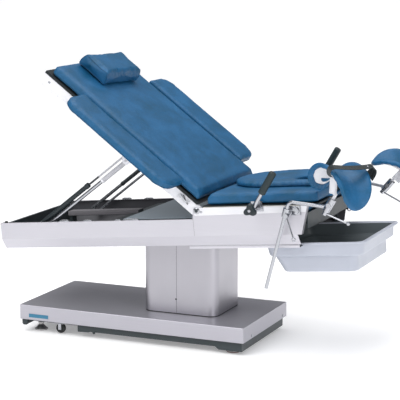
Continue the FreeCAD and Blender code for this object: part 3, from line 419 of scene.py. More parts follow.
def block(name, x0, x1, y0, y1, z0, z1, mat_, look, body, slot, bevel=0.0008, segments=2):
    vs = [mat_ @ mm(x, y, z) for x in (x0, x1) for y in (y0, y1) for z in (z0, z1)]
    fs = [(0, 1, 3, 2), (4, 6, 7, 5), (0, 4, 5, 1), (2, 3, 7, 6), (0, 2, 6, 4), (1, 5, 7, 3)]
    o = make(name, vs, fs, look, None)
    bevelled(o, bevel, segments)
    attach(o, body)
    return o


def lathe(name, profile, origin, axis, look, body, segs=40, up=None, ripple=None, smooth=True, angle=45):
    """Closed profile [(radius, height), ...] in millimetres spun round an axis."""
    z = Vector(axis).normalized()
    x = z.orthogonal().normalized() if up is None else (Vector(up) - z * Vector(up).dot(z)).normalized()
    y = z.cross(x)
    o = Vector(origin)
    verts, faces, rows = [], [], []
    for r, h in profile:
        row = []
        if r < 1e-6:
            row = [len(verts)] * segs
            verts.append(o + z * h / 1000)
        else:
            for i in range(segs):
                a = 2 * math.pi * i / segs
                rr = r * (ripple(a, h) if ripple else 1.0)
                row.append(len(verts))
                verts.append(o + z * h / 1000 + (x * math.cos(a) + y * math.sin(a)) * rr / 1000)
        rows.append(row)
    for a, b in zip(rows, rows[1:]):
        for i in range(segs):
            j = (i + 1) % segs
            f = []
            for k in (a[i], a[j], b[j], b[i]):
                if k not in f:
                    f.append(k)
            if len(f) > 2:
                faces.append(tuple(f))
    return make(name, verts, faces, look, body, smooth, angle=angle)


def tube(name, pts, radius, look, body, segs=12, closed=False, ends=True, flat=None):
    """Round tube (metres) along a smooth line through world points."""
    cu = bpy.data.curves.new(name, "CURVE")
    cu.dimensions = "3D"
    sp = cu.splines.new("NURBS")
    sp.points.add(len(pts) - 1)
    for p, v in zip(sp.points, pts):
        p.co = (*v, 1)
    sp.order_u = 3
    sp.use_cyclic_u = closed
    sp.use_endpoint_u = not closed
    sp.resolution_u = 4
    cu.bevel_depth = radius
    cu.bevel_resolution = max(2, segs // 4)
    cu.use_fill_caps = True
    tmp = bpy.data.objects.new(name + "_line", cu)
    scene.collection.objects.link(tmp)
    bpy.context.view_layer.update()
    dg = bpy.context.evaluated_depsgraph_get()
    me = bpy.data.meshes.new_from_object(tmp.evaluated_get(dg), depsgraph=dg)
    bpy.data.objects.remove(tmp)
    me.name = name
    me.materials.clear()
    me.materials.append(M[look])
    for p in me.polygons:
        p.use_smooth = True
    o = bpy.data.objects.new(name, me)
    scene.collection.objects.link(o)
    split(o, 50)
    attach(o, body)
    return o


def prism(outline, z0, z1, mat_, order="xyz"):
    """Vertices and faces of a prism; outline in the first two axes of order, height in the third."""
    def place(u, v, w):
        c = dict(zip(order, (u, v, w)))
        return mat_ @ mm(c["x"], c["y"], c["z"])
    n = len(outline)
    vs = [place(u, v, z0) for u, v in outline] + [place(u, v, z1) for u, v in outline]
    fs = [tuple(range(n)), tuple(range(n, 2 * n))]
    fs += [(i, (i + 1) % n, n + (i + 1) % n, n + i) for i in range(n)]
    return vs, fs


def round_outline(pts, radii, segs=7):
    """Corner-rounded closed outline."""
    out = []
    n = len(pts)
    for i in range(n):
        p, a, b = Vector(pts[i]), Vector(pts[i - 1]), Vector(pts[(i + 1) % n])
        r = radii[i] if isinstance(radii, (list, tuple)) else radii
        if r <= 0:
            out.append(tuple(p))
            continue
        u, w = (a - p).normalized(), (b - p).normalized()
        ang = u.angle(w)
        t = r / math.tan(ang / 2)
        c = p + (u + w).normalized() * (r / math.sin(ang / 2))
        s, e = p + u * t, p + w * t
        a0 = math.atan2(*(s - c).yx)
        a1 = math.atan2(*(e - c).yx)
        while a1 - a0 > math.pi:
            a1 -= 2 * math.pi
        while a1 - a0 < -math.pi:
            a1 += 2 * math.pi
        for k in range(segs + 1):
            q = a0 + (a1 - a0) * k / segs
            out.append((c.x + r * math.cos(q), c.y + r * math.sin(q)))
    return out


def cushion(name, outline, z0, z1, mat_, body, node, order="xyz", edge=9.0, voxel=6.0, cap=6.0, pressure=4.0,
            inset=3.0, warp=None, shape=None, flat_bottom=True, subdiv=1, frames=20, limit=None,
            edge_segments=4):
    """Stuffed pad: prism with softened edges, remeshed, swelled as cloth, then shaped.
    warp and shape work in the local frame, in millimetres."""
    vs, fs = prism(outline, z0, z1, mat_, order)
    o = make(name, vs, fs, "blue", None)
    b = o.modifiers.new("edge", "BEVEL")
    b.width = edge / 1000
    b.segments = edge_segments
    b.limit_method = "ANGLE"
    b.angle_limit = math.radians(50)
    baked(o)
    r = o.modifiers.new("voxels", "REMESH")
    r.mode = "VOXEL"
    r.voxel_size = voxel / 1000
    r.adaptivity = 0
    sm = o.modifiers.new("ease", "SMOOTH")
    sm.iterations = 2
    baked(o)
    inv = mat_.inverted()
    me = o.data
    me.update()
    n = len(me.vertices)
    co = np.zeros(n * 3)
    me.vertices.foreach_get("co", co)
    co = co.reshape(-1, 3)
    nor = np.array([v.normal for v in me.vertices])
    co -= nor * inset / 1000
    I = np.array(inv)
    F = np.array(mat_)

    def local(c):
        return (c @ I[:3, :3].T + I[:3, 3]) * 1000

    def world(c):
        return (c / 1000) @ F[:3, :3].T + F[:3, 3]
    if warp:
        co = world(warp(local(co)))
    me.vertices.foreach_set("co", co.ravel())
    me.update()
    rest = co.copy()
    c = o.modifiers.new("swell", "CLOTH")
    s = c.settings
    s.quality = 5
    s.mass = 0.3
    s.use_pressure = True
    s.uniform_pressure_force = pressure
    s.tension_stiffness = 20
    s.compression_stiffness = 20
    s.bending_stiffness = 0.8
    s.effector_weights.gravity = 0
    c.point_cache.frame_start = 1
    c.point_cache.frame_end = frames
    for f in range(1, frames + 1):
        scene.frame_set(f)
    baked(o)
    me = o.data
    new = np.zeros(n * 3)
    me.vertices.foreach_get("co", new)
    new = new.reshape(-1, 3)
    scene.frame_set(1)
    d = new - rest
    ln = np.linalg.norm(d, axis=1)
    k = np.where(ln > cap / 1000, (cap / 1000) / np.maximum(ln, 1e-9), 1.0)
    # soft cap keeps the swell smooth
    co = rest + d * k[:, None]
    L = local(co)
    if flat_bottom:
        z_axis = "xyz".index("z")
        L[:, z_axis] = np.maximum(L[:, z_axis], z0 if order[2] == "z" else 0.0)
    me.vertices.foreach_set("co", world(L).ravel())
    me.update()
    sm = o.modifiers.new("ease", "SMOOTH")
    sm.iterations = 2
    baked(o)
    me = o.data
    if shape:
        co = np.zeros(len(me.vertices) * 3)
        me.vertices.foreach_get("co", co)
        co = world(shape(local(co.reshape(-1, 3))))
        me.vertices.foreach_set("co", co.ravel())
        me.update()
    if subdiv:
        sd_ = o.modifiers.new("fine", "SUBSURF")
        sd_.levels = subdiv
        sd_.render_levels = subdiv
        baked(o)
        me = o.data
    if limit:
        co = np.zeros(len(me.vertices) * 3)
        me.vertices.foreach_get("co", co)
        L = local(co.reshape(-1, 3))
        for ax, lo, hi in limit:
            L[:, ax] = np.clip(L[:, ax], lo, hi)
        me.vertices.foreach_set("co", world(L).ravel())
        me.update()
    for p in me.polygons:
        p.use_smooth = True
    o.data.name = name
    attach(o, body)
    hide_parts(node)
    return o


def surface(o):
    dg = bpy.context.evaluated_depsgraph_get()
    return BVHTree.FromObject(o, dg)


def piping(name, o, pts, radius, body, proud=0.35, closed=True, look="seam"):
    """Thin welt laid on the surface of a cushion along world points."""
    bpy.context.view_layer.update()
    tree = surface(o)
    line = []
    for p in pts:
        loc, nor, _, _ = tree.find_nearest(Vector(p))
        if loc is None:
            continue
        line.append(loc + nor * radius * proud)
    return tube(name, line, radius, look, body, 8, closed)


def ridge(v, seed, scale):
    return noise.noise(Vector((v[0] / scale + seed, v[1] / scale - seed * 1.7, v[2] / scale + seed * 0.3)))


def vnoise(P, seed, scale, stretch=(1, 1, 1)):
    """Smooth lattice noise, about -0.6 to 0.6."""
    q = np.asarray(P) * np.array(stretch) / scale + np.array([seed, -seed, 0.3 * seed])
    base = np.floor(q).astype(np.int64)
    f = q - base
    u = f * f * f * (f * (f * 6 - 15) + 10)
    total = np.zeros(len(q))
    for dx in (0, 1):
        for dy in (0, 1):
            for dz in (0, 1):
                n = ((base[:, 0] + dx) * 73856093 ^ (base[:, 1] + dy) * 19349663 ^ (base[:, 2] + dz) * 83492791)
                n = (n & 0xffffffff)
                n = ((n ^ (n >> 13)) * 1274126177) & 0xffffffff
                n = n ^ (n >> 16)
                w = ((u[:, 0] if dx else 1 - u[:, 0]) * (u[:, 1] if dy else 1 - u[:, 1])
                     * (u[:, 2] if dz else 1 - u[:, 2]))
                total += w * ((n & 0xffff) / 32768.0 - 1)
    return total * 0.65


def densify(pts, step):
    out = []
    n = len(pts)
    for i in range(n):
        a, b = Vector(pts[i]), Vector(pts[(i + 1) % n])
        k = max(1, int((b - a).length / step))
        for j in range(k):
            out.append(tuple(a.lerp(b, j / k)))
    return out


# ---------------------------------------------------------------- cushions
def smoothstep(a, b, x):
    t = np.clip((x - a) / (b - a), 0, 1)
    return t * t * (3 - 2 * t)


def back_top(x):
    return np.interp(x, [-46, -20], [70, 49.5])


def warp_back(L):
    top = back_top(L[:, 0])
    z = 29.5 + (L[:, 2] - 29.5) * (top - 29.5) / (70 - 29.5)
    L = L.copy()
    L[:, 2] = z
    return L


def shape_back(L):
    L = L.copy()
    up = smoothstep(48, 62, L[:, 2])
    foot = smoothstep(-170, -60, L[:, 0])
    # long soft folds across the lower end, where the cover gathers at the hinge
    fold = np.sin((L[:, 0] + 14 * np.sin(L[:, 1] / 150)) / 11.5) * 1.3
    wav = vnoise(L, 3.1, 95, (1, 0.45, 1)) * 2.2 + vnoise(L, 7.7, 38, (1, 0.6, 1)) * 0.7
    mid = np.exp(-((L[:, 0] + 400) / 330) ** 2 - (L[:, 1] / 210) ** 2)
    L[:, 2] += up * (wav + foot * fold * (0.5 + vnoise(L, 1.3, 120)) - 2.2 * mid)
    return L


back_outline = round_outline([(-845, -300), (-20, -300), (-20, 300), (-845, 300)], [26, 8, 8, 26])
back_cushion = cushion("back_cushion_padded", back_outline, 29.5, 70, BACKM, "back_section", "back_cushion",
                       edge=10, voxel=7, cap=5, inset=3.5, warp=warp_back, shape=shape_back,
                       limit=[(0, -849, -13), (1, -303, 303), (2, 29.5, 75)])
rim_pts = densify([(-843, -298), (-22, -298), (-22, 298), (-843, 298)], 28)
piping("back_cushion_welt_low", back_cushion, [BACKM @ mm(x * 1.002, y * 1.01, 37) for x, y in rim_pts], 0.0017,
       "back_section")


def shape_pillow(L):
    L = L.copy()
    side = smoothstep(10, 55, L[:, 2])
    L[:, 2] += vnoise(L, 5.5, 60) * 1.8 * side
    L[:, 0] += vnoise(L, 9.5, 45) * 1.2
    return L


PIL = BACKM @ Matrix.Translation(mm(-748, 22, 70.2)) @ Matrix.Rotation(math.radians(-3), 4, "Z")
pil_profile = [(-77, 0), (83, 0), (81, 36), (70, 64), (-62, 66), (-74, 38)]
pillow = cushion("pillow_padded", pil_profile, -153, 153, PIL, "back_section", "pillow", order="xzy", edge=7,
                 voxel=5, cap=6, inset=4, shape=shape_pillow, edge_segments=3)
for k, y in enumerate((-150, 150)):
    pts = densify([(-74, 5), (80, 5), (79, 36), (69, 62), (-61, 64), (-72, 38)], 16)
    piping("pillow_welt_%d" % k, pillow, [PIL @ mm(x * 1.03, y * 1.03, z) for x, z in pts], 0.0014, "back_section")


def side_shape(s):
    def f(L):
        L = L.copy()
        up = smoothstep(52, 62, L[:, 2])
        L[:, 2] += up * (vnoise(L, 2.2 + s, 70, (0.6, 1, 1)) * 1.5)
        return L
    return f


for sd, s in (("near", -1), ("far", 1)):
    y_in, y_out = s * 306, s * 483
    corners = [(-668, y_in), (-106, y_in), (-106, y_out), (-668, y_out)]
    outl = round_outline(corners, [6, 6, 68, 68], 10)
    lim = [(1, -487, -303.6), (2, 34.5, 76)] if s < 0 else [(1, 303.6, 487), (2, 34.5, 76)]
    o = cushion(sd + "_side_pad_padded", outl, 36, 70, BACKM, sd + "_arm_pad", sd + "_side_pad", edge=9, voxel=6,
                cap=4.5, inset=3, shape=side_shape(s), limit=lim)
    pts = densify(round_outline(corners, [6, 6, 68, 68], 6), 20)
    cx, cy = -387, s * 394.5
    piping(sd + "_side_pad_welt", o, [BACKM @ mm(cx + (x - cx) * 1.01, cy + (y - cy) * 1.02, 43) for x, y in pts],
           0.0015, sd + "_arm_pad")


def seat_outline(r=112, x1=690, y1=300):
    pts = [(213, -y1), (x1, -y1), (x1, -r)]
    for k in range(17):
        a = math.radians(-90 - 180 * k / 16)
        pts.append((622 + r * math.cos(a), r * math.sin(a)))
    pts += [(x1, r), (x1, y1), (213, y1)]
    return pts


def warp_seat(L):
    top = np.interp(L[:, 0], [213, 233], [185, 209])
    L = L.copy()
    L[:, 2] = 161.3 + (L[:, 2] - 161.3) * (top - 161.3) / (209 - 161.3)
    return L


def shape_seat(L):
    L = L.copy()
    up = smoothstep(190, 203, L[:, 2])
    L[:, 2] += up * (vnoise(L, 4.4, 80) * 1.8 + vnoise(L, 8.4, 30) * 0.5)
    # the side walls hang in soft folds
    wall = smoothstep(285, 297, np.abs(L[:, 1]))
    low = smoothstep(200, 170, L[:, 2])
    L[:, 1] += np.sign(L[:, 1]) * wall * (vnoise(L, 6.1, 42, (1, 0.1, 0.35)) * 2.4 - 1.5 * low)
    return L


seat = cushion("seat_cushion_padded", seat_outline(), 161.3, 209, TOPM, "table_frame", "seat_cushion", edge=12,
               voxel=6, cap=5.5, inset=3.5, warp=warp_seat, shape=shape_seat,
               limit=[(1, -303, 303), (0, 205, 695), (2, 161.2, 214)])


def ring_outline():
    pts = []
    for k in range(25):
        a = math.radians(90 + 180 * k / 24)
        pts.append((430 + 190 * math.cos(a), 190 * math.sin(a)))
    pts += [(688, -190), (688, -112)]
    for k in range(17):
        a = math.radians(-90 - 180 * k / 16)
        pts.append((622 + 112 * math.cos(a), 112 * math.sin(a)))
    pts += [(688, 112), (688, 190)]
    return pts


def ring_edge(L):
    """Distance from the outer outline, inward."""
    x, y = L[:, 0], L[:, 1]
    r = np.where(x < 430, 190 - np.hypot(x - 430, y), 190 - np.abs(y))
    return r


def shape_ring(L):
    L = L.copy()
    d = ring_edge(L)
    up = smoothstep(216, 228, L[:, 2])
    dish = smoothstep(38, 95, d)
    L[:, 2] -= up * dish * 5.0
    L[:, 2] += up * (vnoise(L, 2.4, 55) * 1.5)
    # gathers round the lower edge
    ang = np.arctan2(L[:, 1], L[:, 0] - 430)
    along = np.where(L[:, 0] < 430, ang * 190, L[:, 0])
    gather = np.sin(along / 4.2 + 2.0 * np.sin(along / 23)) * smoothstep(26, 6, d)
    L[:, 2] += gather * 1.3 * smoothstep(208, 214, L[:, 2])
    return L


ring = cushion("seat_ring_padded", ring_outline(), 206, 234, TOPM, "table_frame", "seat_ring_cushion", edge=13,
               voxel=5, cap=5, inset=3, shape=shape_ring, edge_segments=5,
               limit=[(0, 236, 694), (2, 206, 238)])
ring_pts = [(p[0], p[1]) for p in densify([q for q in ring_outline()[:26]], 18)]
piping("seat_ring_welt", ring, [TOPM @ mm(430 + (x - 430) * 1.02, y * 1.02, 213) for x, y in ring_pts], 0.0014,
       "table_frame", closed=False)

leg_outline = round_outline([(232, -266), (632, -266), (632, 266), (232, 266)], 12)
leg_pad = cushion("leg_pad_padded", leg_outline, 119, 150, TOPM, "leg_section", "leg_section_pad", edge=8, voxel=7,
                  cap=3.5, inset=3.5, limit=[(1, -267, 267), (2, 119, 151.5)])
piping("leg_pad_welt", leg_pad, [TOPM @ mm(432 + (x - 432) * 1.01, y * 1.01, 127) for x, y in
                                 densify([(232, -266), (632, -266), (632, 266), (232, 266)], 25)], 0.0014,
       "leg_section")


# ---------------------------------------------------------------- basin
def rr_loop(x0, x1, yh, z, r, segs=8):
    pts = []
    for cx, cy, a0 in ((x1 - r, yh - r, 0), (x0 + r, yh - r, 90), (x0 + r, -yh + r, 180), (x1 - r, -yh + r, 270)):
        for k in range(segs + 1):
            a = math.radians(a0 + 90 * k / segs)
            pts.append(TOPM @ mm(cx + r * math.cos(a), cy + r * math.sin(a), z))
    return pts


def basin_mesh():
    out = [(499, 784, 203, -126.0, 28), (491, 793, 212, -124.5, 32), (487, 797, 215.5, -120, 34),
           (455, 798, 216, -66, 35), (452, 802, 220, -61.5, 37), (442, 816, 229, -60.5, 40),
           (436, 824, 232.5, -58, 42), (433, 827, 234, -52, 42), (425, 831, 235, -14, 42),
           (422, 835, 237, -11.5, 42), (415.5, 844, 243, -11.6, 40), (414.5, 846, 244, -9.5, 40),
           (414.5, 846, 244, -5.0, 40), (416.5, 844, 242, -2.6, 38), (423, 835, 238, -2.5, 38),
           (427, 828, 233, -4.5, 38), (428.5, 826, 231, -9, 38)]
    ins = [(437, 823, 230, -50, 38), (440, 819, 227, -56, 37), (455, 803, 217, -57.5, 35),
           (459, 797, 213.5, -60, 34), (491, 794, 212.5, -114, 32), (497, 789, 208, -120.5, 30),
           (507, 778, 198, -123, 26)]
    loops = [rr_loop(a, b, c, z, r) for a, b, c, z, r in out + ins]
    verts, faces, fm = [], [], []
    for lp in loops:
        verts += lp
    n = len(loops[0])
    for i in range(len(loops) - 1):
        for j in range(n):
            k = (j + 1) % n
            faces.append((i * n + j, i * n + k, (i + 1) * n + k, (i + 1) * n + j))
            fm.append(0 if i < len(out) - 1 else 1)
    faces.append(tuple(reversed(range(n))))
    fm.append(0)
    faces.append(tuple((len(loops) - 1) * n + j for j in range(n)))
    fm.append(1)
    o = make("basin_bowl", verts, faces, None, "catch_basin", mats=["basin", "basin_in"],
             face_mats=fm)
    split(o, 60)
    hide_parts("basin")
    return o


basin_mesh()

# ---------------------------------------------------------------- knee crutches
PHI, ROLL = math.radians(36.4), math.radians(3.2)
A0, A1, R0, RU, TH0, TH1, SUP = -60.5, 81.0, 134.0, 82.0, 70.8, 67.2, 1.93
ROD_A, ROD_Q = Vector((474, -335, 315)), Vector((563.5, -335, 664))
AX1 = (ROD_Q - ROD_A).normalized()
SWIV = ROD_A + AX1 * (305.0 / AX1.z)
E_AX = Vector((0.4917, 0, 0.8707)).normalized()


def mir(v, s):
    return Vector((v[0], v[1] * (1 if s < 0 else -1), v[2]))


def drop(s):
    """Millimetre placement of the far leg support, lowered about its clamp."""
    if s < 0:
        return Matrix.Identity(4)
    c = mir(SWIV, s)
    return Matrix.Translation(c) @ Matrix.Rotation(math.radians(11), 4, "Y") @ Matrix.Translation(-c)


def crutch_frame(s):
    o = mir((756.1, -350.8, 644.4), s)
    L = Vector((math.cos(PHI), s * math.sin(PHI), 0))
    W0 = Vector((-s * math.sin(PHI), math.cos(PHI), 0))
    Z = Vector((0, 0, 1))
    rr = -ROLL if s < 0 else ROLL
    W = W0 * math.cos(rr) + Z * math.sin(rr)
    Zr = Z * math.cos(rr) - W0 * math.sin(rr)
    m = Matrix(((L.x, W.x, Zr.x, o.x), (L.y, W.y, Zr.y, o.y), (L.z, W.z, Zr.z, o.z), (0, 0, 0, 1)))
    if s > 0:
        b = mir((743, -375, 670), s)
        m = (Matrix.Translation(b) @ Matrix.Rotation(math.radians(25), 4, "X")
             @ Matrix.Rotation(math.radians(27), 4, "Y") @ Matrix.Rotation(math.radians(-40), 4, E_AX)
             @ Matrix.Translation(-b) @ m)
    return drop(s) @ m


CRM = {"near": crutch_frame(-1), "far": crutch_frame(1)}


def crutch_point(a, t, off):
    """Local point (mm): a along the arch in degrees, t across from -1 to 1, off toward the leg."""
    k = (a - A0) / (A1 - A0)
    th = math.radians(t * (TH0 * (1 - k) + TH1 * k))
    ru = RU - off
    rad = R0 + RU - ru * math.cos(th)
    q = math.radians(a)
    return Vector((math.sin(q) * rad, ru * math.sin(th), math.cos(q) * rad))


def crutch_polar(rho, psi, off):
    e = 2.0 / SUP
    c, s_ = math.cos(psi), math.sin(psi)
    ca = math.copysign(abs(c) ** e, c)
    sa = math.copysign(abs(s_) ** e, s_)
    return crutch_point((A0 + A1) / 2 + (A1 - A0) / 2 * rho * ca, rho * sa, off)


def crutch_cover(sd, s):
    prof = [(0.0, 13.2), (0.12, 13.2), (0.25, 13.1), (0.38, 13.0), (0.50, 12.8), (0.62, 12.4), (0.72, 11.8),
            (0.81, 11.0), (0.88, 9.8), (0.935, 8.2), (0.972, 6.2), (0.996, 3.2), (1.004, -0.6), (0.998, -4.8),
            (0.978, -8.2), (0.945, -9.9), (0.905, -10.2), (0.868, -9.2), (0.838, -7.4), (0.818, -5.4),
            (0.806, -3.9), (0.812, -3.15), (0.86, -3.15), (0.955, -3.13), (0.982, -2.7), (0.984, -1.6),
            (0.980, -0.5), (0.95, 0.1), (0.8, 0.1), (0.4, 0.1), (0.0, 0.1)]
    if s > 0:
        prof = prof[:16] + [(0.900, -10.0), (0.86, -9.0), (0.826, -7.4), (0.804, -5.4), (0.79, -3.9),
                            (0.796, -3.15), (0.86, -3.15)] + prof[23:]
    segs = 168
    m = CRM[sd]
    verts, faces, rows = [], [], []
    for i, (rho, off) in enumerate(prof):
        row = []
        if rho == 0:
            rows.append([len(verts)] * segs)
            verts.append(m @ crutch_point((A0 + A1) / 2, 0, off))
            continue
        for k in range(segs):
            psi = 2 * math.pi * k / segs
            r, f = rho, off
            # pleats gathered by the elastic on the back, fading on to the leg side
            w = max(0.0, 1 - abs(i - 16) / 7.0)
            pleat = math.sin(psi * 34 + 1.4 * math.sin(psi * 5)) * 0.9 + math.sin(psi * 13 + 0.7) * 0.5
            if i < 22:
                f += pleat * w * (1.5 if off < 0 else 0.9)
            if 18 <= i < 22:
                r += 0.007 * math.sin(psi * 17 + 2.0 * math.sin(psi * 3))
            if off > 0.2:
                # long drapes across the trough and toward the toe
                c = math.cos(psi)
                edge = max(0.0, min(1.0, (rho - 0.15) / 0.5))
                drape = math.sin(7 * psi + 3.0 * rho + 0.8 * math.sin(3 * psi))
                f += drape * 1.5 * edge * (1 - 0.5 * rho) + 1.2 * math.sin(15 * psi + 5 * rho) * max(0, rho - 0.6)
                f += ridge((rho * c * 60, rho * math.sin(psi) * 60, s * 9), 2.0, 22) * 2.0
            row.append(len(verts))
            verts.append(m @ crutch_polar(r, psi, f))
        rows.append(row)
    for a, b in zip(rows, rows[1:]):
        for k in range(segs):
            j = (k + 1) % segs
            f = []
            for v in (a[k], a[j], b[j], b[k]):
                if v not in f:
                    f.append(v)
            if len(f) > 2:
                faces.append(tuple(f))
    verts = [v / 1000 for v in verts]
    o = make(sd + "_crutch_padding", verts, faces, "blue", None)
    sub = o.modifiers.new("fine", "SUBSURF")
    sub.levels = sub.render_levels = 1
    baked(o)
    for p in o.data.polygons:
        p.use_smooth = True
    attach(o, sd + "_knee_crutch")
    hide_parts(sd + "_crutch_cover")
    return o


for sd, s in (("near", -1), ("far", 1)):
    crutch_cover(sd, s)


def crutch_shell(sd):
    """Moulded shell: smooth closed form of the same saddle."""
    segs = 120
    m = CRM[sd]
    prof = [(0.0, -0.3), (0.3, -0.3), (0.6, -0.3), (0.8, -0.3), (0.93, -0.3), (0.968, -0.6), (0.98, -1.6),
            (0.968, -2.7), (0.93, -3.05), (0.8, -3.05), (0.6, -3.05), (0.3, -3.05), (0.0, -3.05)]
    verts, faces, rows = [], [], []
    for rho, off in prof:
        if rho == 0:
            rows.append([len(verts)] * segs)
            verts.append(m @ crutch_point((A0 + A1) / 2, 0, off) / 1000)
            continue
        row = []
        for k in range(segs):
            psi = 2 * math.pi * k / segs
            row.append(len(verts))
            verts.append(m @ crutch_polar(rho, psi, off) / 1000)
        rows.append(row)
    for a, b in zip(rows, rows[1:]):
        for k in range(segs):
            j = (k + 1) % segs
            f = []
            for v in (a[k], a[j], b[j], b[k]):
                if v not in f:
                    f.append(v)
            faces.append(tuple(f))
    o = make(sd + "_crutch_moulding", verts, faces, "shell", sd + "_knee_crutch")
    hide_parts(sd + "_crutch_shell")
    return o


for sd in ("near", "far"):
    crutch_shell(sd)


def strap(name, sd, pts, width, thick, look="strap", slot="black_plastic"):
    """Flat webbing: pts are (a, t, off) on the crutch surface; the width runs along the arch."""
    m = CRM[sd]
    line = []
    for a, t, off in pts:
        line.append((m @ crutch_point(a, t, off)) / 1000)
    wdir = []
    for a, t, off in pts:
        d = (m @ crutch_point(a + 2, t, off)) - (m @ crutch_point(a - 2, t, off))
        wdir.append(d.normalized())
    # resample smoothly
    P, W = [], []
    for i in range(len(line) - 1):
        for k in range(6):
            f = k / 6
            p0 = line[max(0, i - 1)]
            p1, p2 = line[i], line[i + 1]
            p3 = line[min(len(line) - 1, i + 2)]
            P.append(0.5 * ((2 * p1) + (p2 - p0) * f + (2 * p0 - 5 * p1 + 4 * p2 - p3) * f * f
                            + (3 * p1 - p0 - 3 * p2 + p3) * f ** 3))
            W.append(wdir[i].lerp(wdir[i + 1], f).normalized())
    P.append(line[-1])
    W.append(wdir[-1])
    verts, faces = [], []
    prof = [(-1, -0.6), (-0.94, -1), (0, -1), (0.94, -1), (1, -0.6), (1, 0.6), (0.94, 1), (0, 1), (-0.94, 1),
            (-1, 0.6)]
    for i, (p, w) in enumerate(zip(P, W)):
        tan = (P[min(i + 1, len(P) - 1)] - P[max(i - 1, 0)]).normalized()
        nor = tan.cross(w).normalized()
        for u, v in prof:
            verts.append(p + w * width / 2000 * u + nor * thick / 2000 * v)
    k = len(prof)
    for i in range(len(P) - 1):
        for j in range(k):
            faces.append((i * k + j, i * k + (j + 1) % k, (i + 1) * k + (j + 1) % k, (i + 1) * k + j))
    faces.append(tuple(range(k)))
    faces.append(tuple(reversed([(len(P) - 1) * k + j for j in range(k)])))
    return make(name, verts, faces, look, sd + "_knee_crutch", angle=50)


# strap of the near crutch: webbing from the back of the shell, over both rims, with a free tail
def strap_local(name, sd, pts, width, thick, look="strap"):
    """pts are (angle along the arch, across, height above the arch centre), millimetres."""
    m = CRM[sd]

    def place(a, y, r):
        q = math.radians(a)
        return m @ Vector((math.sin(q) * r, y, math.cos(q) * r)) / 1000
    P = []
    n = len(pts)
    for i in range(n - 1):
        p0, p1, p2, p3 = (Vector(pts[max(0, i - 1)]), Vector(pts[i]), Vector(pts[i + 1]),
                          Vector(pts[min(n - 1, i + 2)]))
        for k in range(5):
            f = k / 5
            P.append(0.5 * ((2 * p1) + (p2 - p0) * f + (2 * p0 - 5 * p1 + 4 * p2 - p3) * f * f
                            + (3 * p1 - p0 - 3 * p2 + p3) * f ** 3))
    P.append(Vector(pts[-1]))
    line = [place(*v) for v in P]
    across = [(place(v[0] + 2, v[1], v[2]) - place(v[0] - 2, v[1], v[2])).normalized() for v in P]
    prof = [(-1, -0.6), (-0.94, -1), (-0.8, -0.8), (0, -1), (0.8, -0.8), (0.94, -1), (1, -0.6), (1, 0.6), (0.94, 1),
            (0.8, 0.8), (0, 1), (-0.8, 0.8), (-0.94, 1), (-1, 0.6)]
    verts, faces = [], []
    k = len(prof)
    for i, (q, w) in enumerate(zip(line, across)):
        tan = (line[min(i + 1, len(line) - 1)] - line[max(i - 1, 0)]).normalized()
        nor = tan.cross(w).normalized()
        for u, v in prof:
            verts.append(q + w * width / 2000 * u + nor * thick / 2000 * v)
    for i in range(len(line) - 1):
        for j in range(k):
            faces.append((i * k + j, i * k + (j + 1) % k, (i + 1) * k + (j + 1) % k, (i + 1) * k + j))
    faces.append(tuple(range(k)))
    faces.append(tuple(reversed([(len(line) - 1) * k + j for j in range(k)])))
    return make(name, verts, faces, look, sd + "_knee_crutch", angle=50)


near_path = [(5, -38, 135.5), (10, -55, 146), (17, -74, 164), (23, -88, 181), (26, -95, 196), (28, -90, 206),
             (28, -72, 206), (28, -30, 202), (28, 20, 201), (28, 66, 204), (28, 86, 206), (28, 95, 196),
             (27.5, 93, 180), (27, 84, 164)]
strap_local("near_crutch_strap", "near", near_path, 26, 2.4)
tail = [(29, 84, 208.6), (30, 97, 202), (31, 101, 188), (31.5, 99, 172), (32, 95, 158)]
strap_local("near_crutch_strap_tail", "near", tail, 30, 3.2)
far_path = [(-4, 40, 135.5), (-4, 58, 147), (-4, 76, 164), (-4, 91, 181), (-4, 98, 196), (-4, 92, 205)]
strap_local("far_crutch_strap", "far", far_path, 24, 2.4)


def crutch_screw(sd, a, y, r, name):
    m = CRM[sd]
    q = math.radians(a)
    c = m @ Vector((math.sin(q) * r, y, math.cos(q) * r)) / 1000
    d = m.to_3x3() @ Vector((math.sin(q), 0, math.cos(q)))
    lathe(name, [(0, 0), (4.6, 0), (4.8, 0.6), (4.4, 2.0), (2.4, 2.8), (2.2, 1.8), (0, 1.8)], c, d, "chrome",
          sd + "_knee_crutch", 20)


crutch_screw("near", 28, 70, 205.2, "near_strap_rivet")

